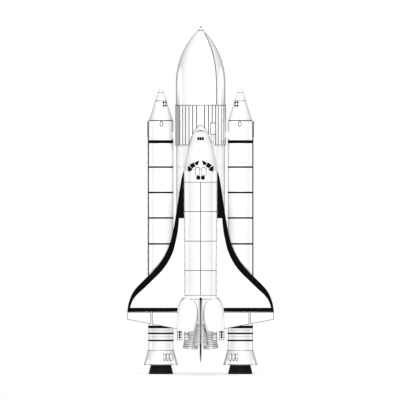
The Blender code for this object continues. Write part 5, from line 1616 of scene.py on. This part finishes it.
def wing_row(side, z, inner, outer, steps, end=None):
    """A loop across the wing at a height z: the upper skin outwards, the lower skin back."""
    upper, lower = [], []
    for index in range(steps + 1):
        x = inner + (outer - inner) * (1 - (1 - index / steps) ** 1.7)
        low, high = wing_skin(x, z)
        place = z if end is None else end(x)
        upper.append(orb(side * x, high, place))
        lower.append(orb(side * x, low, place))
    return upper + lower[::-1]


def wing(name, side):
    """A wing's panel with its dark leading edge, the dark panel over the hinge and the elevons."""
    root = BODY_R + GAP
    steps = 28
    panel = [wing_row(side, GLOVE_Z + GLOVE_STEP, root, WING_PLAN[0][2] - GAP, steps)]
    strip = []
    for z, edge, inner in PLAN:
        if z < BAND_Z:
            break
        place = max(z, BAND_Z + GAP)
        strip.append(wing_row(side, place, inner, edge, 12))
        if z <= GLOVE_Z:
            panel.append(wing_row(side, place, root, inner - GAP, steps))
    dark_rows = sum(1 for row in panel if row[0][2] > GLOVE_DARK_Z) - 1

    def look(r, c):
        if r < dark_rows:
            return "edge_black"
        return "tile_wing" if c < steps else "tile_black"

    dress(Shape().grid(panel, look), f"wing_{name}")
    dress(Shape().grid(strip, "edge_black"), f"leading_edge_{name}")

    band = []
    for t in spread(0.0, 1.0, 8):
        z = BAND_Z + (HINGE_Z - BAND_Z) * t

        def end(x, t=t):
            return BAND_Z + (HINGE_Z + hinge_radius(x) + MOVING_GAP - BAND_Z) * t

        band.append(wing_row(side, z, root, between(PLAN, z, 1), steps, end))
    hinge_panel = Shape().grid(band, "edge_black")
    for x in HINGE_LUG_X:
        near = x - HINGE_LUG_HALF
        middle = wing_base(x) + hinge_radius(x)
        low, high = beside(side, near, x + HINGE_LUG_HALF)
        hinge_panel.box(orb(low, middle + HINGE_LUG_HALF, HINGE_Z + hinge_radius(near) + GAP),
                        orb(high, middle - HINGE_LUG_HALF, HINGE_Z + hinge_radius(x) + 0.10), "steel")
    dress(hinge_panel, f"hinge_panel_{name}")
    for label, span in zip(("inner", "outer"), ELEVON_X):
        elevon(name, side, label, *span)


def elevon(name, side, label, inner, outer):
    """A trailing-edge flap with a dark rim round its upper face."""
    line = ELEVON_LINE
    places = [inner, inner + line] + spread(inner + 2 * line, outer - 2 * line, 10) + [outer - line, outer]
    arc_steps = 20
    rows = []
    for x in places:
        radius = hinge_radius(x)
        middle = wing_base(x) + radius
        base = middle - radius * 0.35
        tip, top = trailing_z(x), base + ELEVON_EDGE
        rise = (middle + radius - top) * line / (HINGE_Z - tip)
        loop = arc(-math.pi / 2, math.pi / 2, arc_steps, radius, HINGE_Z, middle)
        loop += [(tip + line, top + rise), (tip, top), (tip, base)]
        rows.append([orb(side * x, h, z) for z, h in loop])

    def look(r, c):
        if not arc_steps // 2 <= c <= arc_steps + 1:
            return "tile_black"
        if r in (0, len(places) - 2) or c == arc_steps + 1:
            return "seam_grey"
        return "seam_pale" if c < arc_steps else "tile_wing"

    dress(Shape().grid(rows, look), f"elevon_{label}_{name}")


# Fin and rudder

def on_line(line, h):
    """Reading of z along a straight edge given by two points of h and z."""
    (h0, z0), (h1, z1) = line
    return z0 + (z1 - z0) * (h - h0) / (h1 - h0)


HINGE_LEAN = math.cos(math.atan2(FIN_HINGE[0][1] - FIN_HINGE[1][1], FIN_HINGE[1][0] - FIN_HINGE[0][0]))
POST_REACH = (POST_R + GAP) / HINGE_LEAN


def fin_half(h):
    """Half thickness of the fin at its hinge line."""
    return 0.20 - 0.08 * (h - FIN_HINGE[0][0]) / (FIN_TIP_H - FIN_HINGE[0][0])


def fin():
    thickness, outline = reader(FIN_THICKNESS), reader(FIN_OUTLINE)
    heights = spread(FIN_ROOT_H, RUDDER_BASE_H - 0.06, 14) + spread(4.6, FIN_TIP_H, 30)
    shares = [1.0, 0.995, 0.985, 0.97, 0.945] + spread(0.91, 0.0, 14)
    rows = []
    for h in heights:
        front, back = min(FIN_FRONT_Z, on_line(FIN_LEADING, h)), on_line(FIN_HINGE, h) + POST_REACH
        if h < RUDDER_BASE_H - 0.1:
            back = max(back, on_line(FIN_FOOT, h))
        half = thickness(h, 1)
        loop = [(half * outline(share, 1), back + (front - back) * share) for share in shares]
        rows.append([orb(x, h, z) for x, z in loop + mirrored(loop[::-1], -1)])
    last = 2 * len(shares) - 1

    def look(r, c):
        dark = r >= len(heights) - 3 or min(c, last - c) < 4 or c == last
        return "edge_black" if dark else "tile_side"

    finished("fin_fine", seated(Shape().grid(rows, look), "fin_skin"), ("fin",))

    low, high = (Vector(orb(0, h, on_line(FIN_HINGE, h))) for h in (RUDDER_BASE_H + 0.1, RUDDER_TOP_H - 0.1))
    dress(Shape().rod(low, high, POST_R, "steel", steps=48), "rudder_post")
    for name, side in SIDES:
        rudder(name, side)


def rudder(name, side):
    """One half of the rudder, which is also a speed brake."""
    looks = ("tile_side", "tile_side", "tile_side", "seam_grey", "seam_grey", "radiator")
    steps = 12
    rows = []
    for h in spread(RUDDER_BASE_H, RUDDER_TOP_H, steps):
        front, back = on_line(FIN_HINGE, h) - POST_REACH, on_line(FIN_TRAILING, h)
        inner, outer, tip = (side * x for x in (MOVING_GAP / 2, fin_half(h), MOVING_GAP / 2 + 0.03))
        bend_z = front - 0.25
        rows.append([orb(inner, h, front), orb(outer * 0.45, h, front), orb(outer, h, bend_z),
                     orb(outer + (tip - outer) * 0.9, h, bend_z + (back - bend_z) * 0.9),
                     orb(tip, h, back), orb(inner, h, back)])
    dress(Shape().grid(rows, lambda r, c: looks[c] if r < steps - 1 else "seam_grey"), f"rudder_{name}")


# Rear pods and engines

def pod(name, side):
    """A rear pod on the fuselage's shoulder, with a dark tube of painted shade along its crease with the
    deck, its thruster box and its engine.
    """
    read = reader(POD_SECTIONS)
    top, base = POD_SECTIONS[0][0], POD_SECTIONS[-1][0]
    heights = [top - POD_ROUND * (1 - math.cos(t)) for t in spread(0.0, math.pi / 2, 18)]
    heights += spread(top - POD_ROUND - 0.1, base, 10)
    steps = 56

    def bulge(value):
        return math.copysign(abs(value) ** POD_POWER, value)

    rows = []
    for z in heights:
        inner, outer, low, high = (read(z, column) for column in (1, 2, 3, 4))
        half_x, half_h = (outer - inner) / 2, (high - low) / 2
        rows.append([orb(side * ((inner + outer) / 2 + half_x * bulge(math.cos(math.tau * index / steps))),
                         (low + high) / 2 + half_h * bulge(math.sin(math.tau * index / steps)), z)
                     for index in range(steps)])
    shell = Shape().grid(rows, "tile_white")
    shell.looks[-1] = "seam_grey"
    body = seated(shell, "pod_skin")

    # A dark tube along the crease where the pod meets the deck paints that crease's shade
    route = [orb(side * (read(z, 1) - POD_CREASE_SHADE_R), deck_h(read(z, 1), z), z) for z in spread(*POD_CREASE_SHADE_Z, 40)]
    crease_shade = Shape().tube(route, POD_CREASE_SHADE_R, "seam_grey", steps=12)
    meshes = (body, thruster_box(side).mesh("pod_extra"), crease_shade.mesh("pod_crease_shade"))
    add_meshes(f"rear_pod_{name}_fine", meshes, (f"rear_pod_{name}",))
    pod_engine(name, side)


def thruster_box(side):
    """The box behind a pod, with ports on its back and its outer side and a dark line round its back."""
    x0, x1, h0, h1, z0, z1 = THRUSTER_BOX
    low, high = beside(side, x0, x1)
    box = Shape().box(orb(low, h1, z0), orb(high, h0, z1 + 0.05), "tile_white", 0.10)
    for z in THRUSTER_PORTS_Z:
        dark_port(box, orb(side * 3.36, h1 - 0.005, z), (0, -1, 0), 0.19)
        dark_port(box, orb(side * (x1 - 0.005), 2.1, z), (side, 0, 0), 0.15)
    line = 0.10
    for xa, za, xb, zb in ((low, z0, low + line, z1), (low, z1 - line, high, z1),
                           (high - line, z0, high, z1), (low, z0, high, z0 + line)):
        box.box(orb(xa, h1 + 0.012, za), orb(xb, h1 - 0.03, zb), "seam_grey", 0.004)
    return box


def pod_engine(name, side):
    x, h, top, bottom, throat, exit_r = POD_ENGINE
    flange, bell_top = throat + 0.18, top - 0.45
    read = reader(((bell_top, throat), (top - 0.85, throat + 0.16), (bottom, exit_r)))
    rows = [(0.0, top - GAP, "nose_grey"), (flange, top - GAP, "nose_grey"),
            (flange, top - 0.30, "seam_pale")]
    rows += [(read(z, 1), z, "bell") for z in spread(bell_top, bottom, 14)]
    rows += [(read(z, 1) - POD_ENGINE_WALL, z, "bell_dark") for z in spread(bottom, bell_top, 14)]
    rows.append((0.0, top - 0.40, "bell_dark"))
    centre = orb(side * x, h, 0)[:2]
    bell = Shape().turned(rows, centre=centre, steps=64)
    for z in spread(top - 0.60, bottom + 0.06, 4):
        hoop(bell, read(z, 1), z, POD_HOOP, "bell_dark", centre=centre, steps=64)
    dress(bell, f"pod_engine_{name}")


def main_engine(name, x, h, z, pitch, cant):
    """An engine on its gimbal: a round heat shield about the pivot and a hooped bell with a hollow inside."""
    place = Matrix.Translation(orb(x, h, z)) @ engine_turn(pitch, cant)
    read = reader(BELL_PROFILE)
    top, base = BELL_PROFILE[0][0], BELL_PROFILE[-1][0]
    rows = [(GIMBAL_R * math.sin(t), GIMBAL_R * math.cos(t), "bell_dark")
            for t in spread(0.0, math.radians(60), 8)]
    rows += [(*point, "shield") for point in arc(math.radians(20), math.radians(-50), 16, DOME_R)]
    rows.append((*NECK, "bell_dark"))
    rows += [(read(t, 1), t, "bell") for t in spread(top, base, 40)]
    rows[-1] = (read(base, 1), base, "bell_dark")
    rows += [(read(t, 1) - BELL_WALL, t, "bell") for t in spread(base, top, 30)]
    rows.append((0.0, BELL_THROAT, "bell_dark"))
    bell = Shape().turned(rows, place=place)
    for index in range(HOOPS):
        at = base + 0.10 + HOOP_PITCH * index
        hoop(bell, read(at, 1), at, BELL_HOOP, "bell_dark", place=place)
    for start in BELL_PIPES:
        route = []
        for t in spread(PIPE_TOP, base + 0.25, 24):
            angle = start + PIPE_TWIST * (t - base)
            radius = read(min(t, top), 1) + PIPE_OUT
            route.append(place @ Vector((radius * math.cos(angle), radius * math.sin(angle), t)))
        bell.tube(route, PIPE_R, "bell", steps=12)
    dress(bell, f"main_engine_{name}")


# Camera, light and floor

PIXELS_PER_METRE = 6.22 / SCALE
FRAME = 400
CENTRE_X, GROUND_Y = 200.6, 374.6
LENS = 1200.0
SENSOR = 36.0
SUNS = (
    # name, energy, azimuth from the camera's side, elevation and width, all three in degrees
    ("key_light", 3.3, 0, -3, 1),
    ("top_light", 1.3, 0, 40, 50),
    ("side_light", 1.0, -118, -12, 50),
    ("side_light", 1.0, 118, -12, 50),
    ("back_light", 1.0, 180, 70, 30),
)
WORLD_LIT, WORLD_SEEN = 0.10, 1.0
FLOOR_R = 16.0
FLOOR_DROP = 0.004
FLOOR_PALE = (0.9, 0.9, 0.9, 1)
FLOOR_ROUGH = 0.9
FLOOR_GLOW = 0.45


def camera():
    """Straight at the orbiter's back from far away, so that the lines stay parallel as in the drawing."""
    distance = FRAME / PIXELS_PER_METRE * LENS / SENSOR
    data = bpy.data.cameras.new("view")
    data.lens = LENS
    data.sensor_width = SENSOR
    data.clip_start = 1.0
    data.clip_end = 3 * distance
    made = placed("view", data)
    x, z = (pixels / PIXELS_PER_METRE for pixels in (FRAME / 2 - CENTRE_X, GROUND_Y - FRAME / 2))
    made.location = (x, -distance, z)
    made.rotation_euler = (math.pi / 2, 0, 0)
    bpy.context.scene.camera = made


def sun(name, energy, azimuth, elevation, width):
    data = bpy.data.lights.new(name, "SUN")
    data.energy = energy
    data.angle = math.radians(width)
    made = placed(name, data)
    a, e = math.radians(azimuth), math.radians(elevation)
    towards = Vector((math.sin(a) * math.cos(e), -math.cos(a) * math.cos(e), math.sin(e)))
    made.rotation_mode = "QUATERNION"
    made.rotation_quaternion = towards.to_track_quat("Z", "Y")


def studio():
    """A frontal sun from slightly below, weaker wide lights round it, and a white backdrop."""
    for row in SUNS:
        sun(*row)
    world = bpy.data.worlds.new("studio")
    bpy.context.scene.world = world
    world.use_nodes = True
    tree = world.node_tree
    tree.nodes.clear()
    lit, seen = (node(tree, "ShaderNodeBackground", {"Color": (1, 1, 1, 1), "Strength": strength})
                 for strength in (WORLD_LIT, WORLD_SEEN))
    path = node(tree, "ShaderNodeLightPath")
    both = node(tree, "ShaderNodeMixShader", {
        0: path.outputs["Is Camera Ray"], 1: lit.outputs["Background"], 2: seen.outputs["Background"]})
    node(tree, "ShaderNodeOutputWorld", {"Surface": both.outputs["Shader"]})
    bpy.context.scene.view_settings.view_transform = "Standard"


def floor():
    """A round pale floor under the nozzles. It casts no shadow, so the low key light passes it."""
    look = bpy.data.materials.new("floor_pale")
    look.use_nodes = True
    fill(look.node_tree, look.node_tree.nodes["Principled BSDF"], {
        "Base Color": FLOOR_PALE, "Roughness": FLOOR_ROUGH, "Emission Color": (1, 1, 1, 1),
        "Emission Strength": FLOOR_GLOW})
    mesh = bmesh.new()
    bmesh.ops.create_circle(mesh, cap_ends=True, segments=96, radius=FLOOR_R)
    data = bpy.data.meshes.new("floor")
    mesh.to_mesh(data)
    mesh.free()
    data.materials.append(look)
    made = placed("floor", data)
    made.location = (0, 0, -FLOOR_DROP)
    made.visible_shadow = False
    made.visible_diffuse = False
    made.visible_glossy = False


def build():
    tank()
    tank_lines()
    tank_links()
    for name, side in SIDES:
        booster(name, side)
        wing(name, side)
        pod(name, side)
        bay_door(name, side)
    forward_fuselage()
    payload_bay()
    aft_fuselage()
    body_flap()
    fin()
    for engine in ENGINES:
        main_engine(*engine)


camera()
studio()
floor()
build()
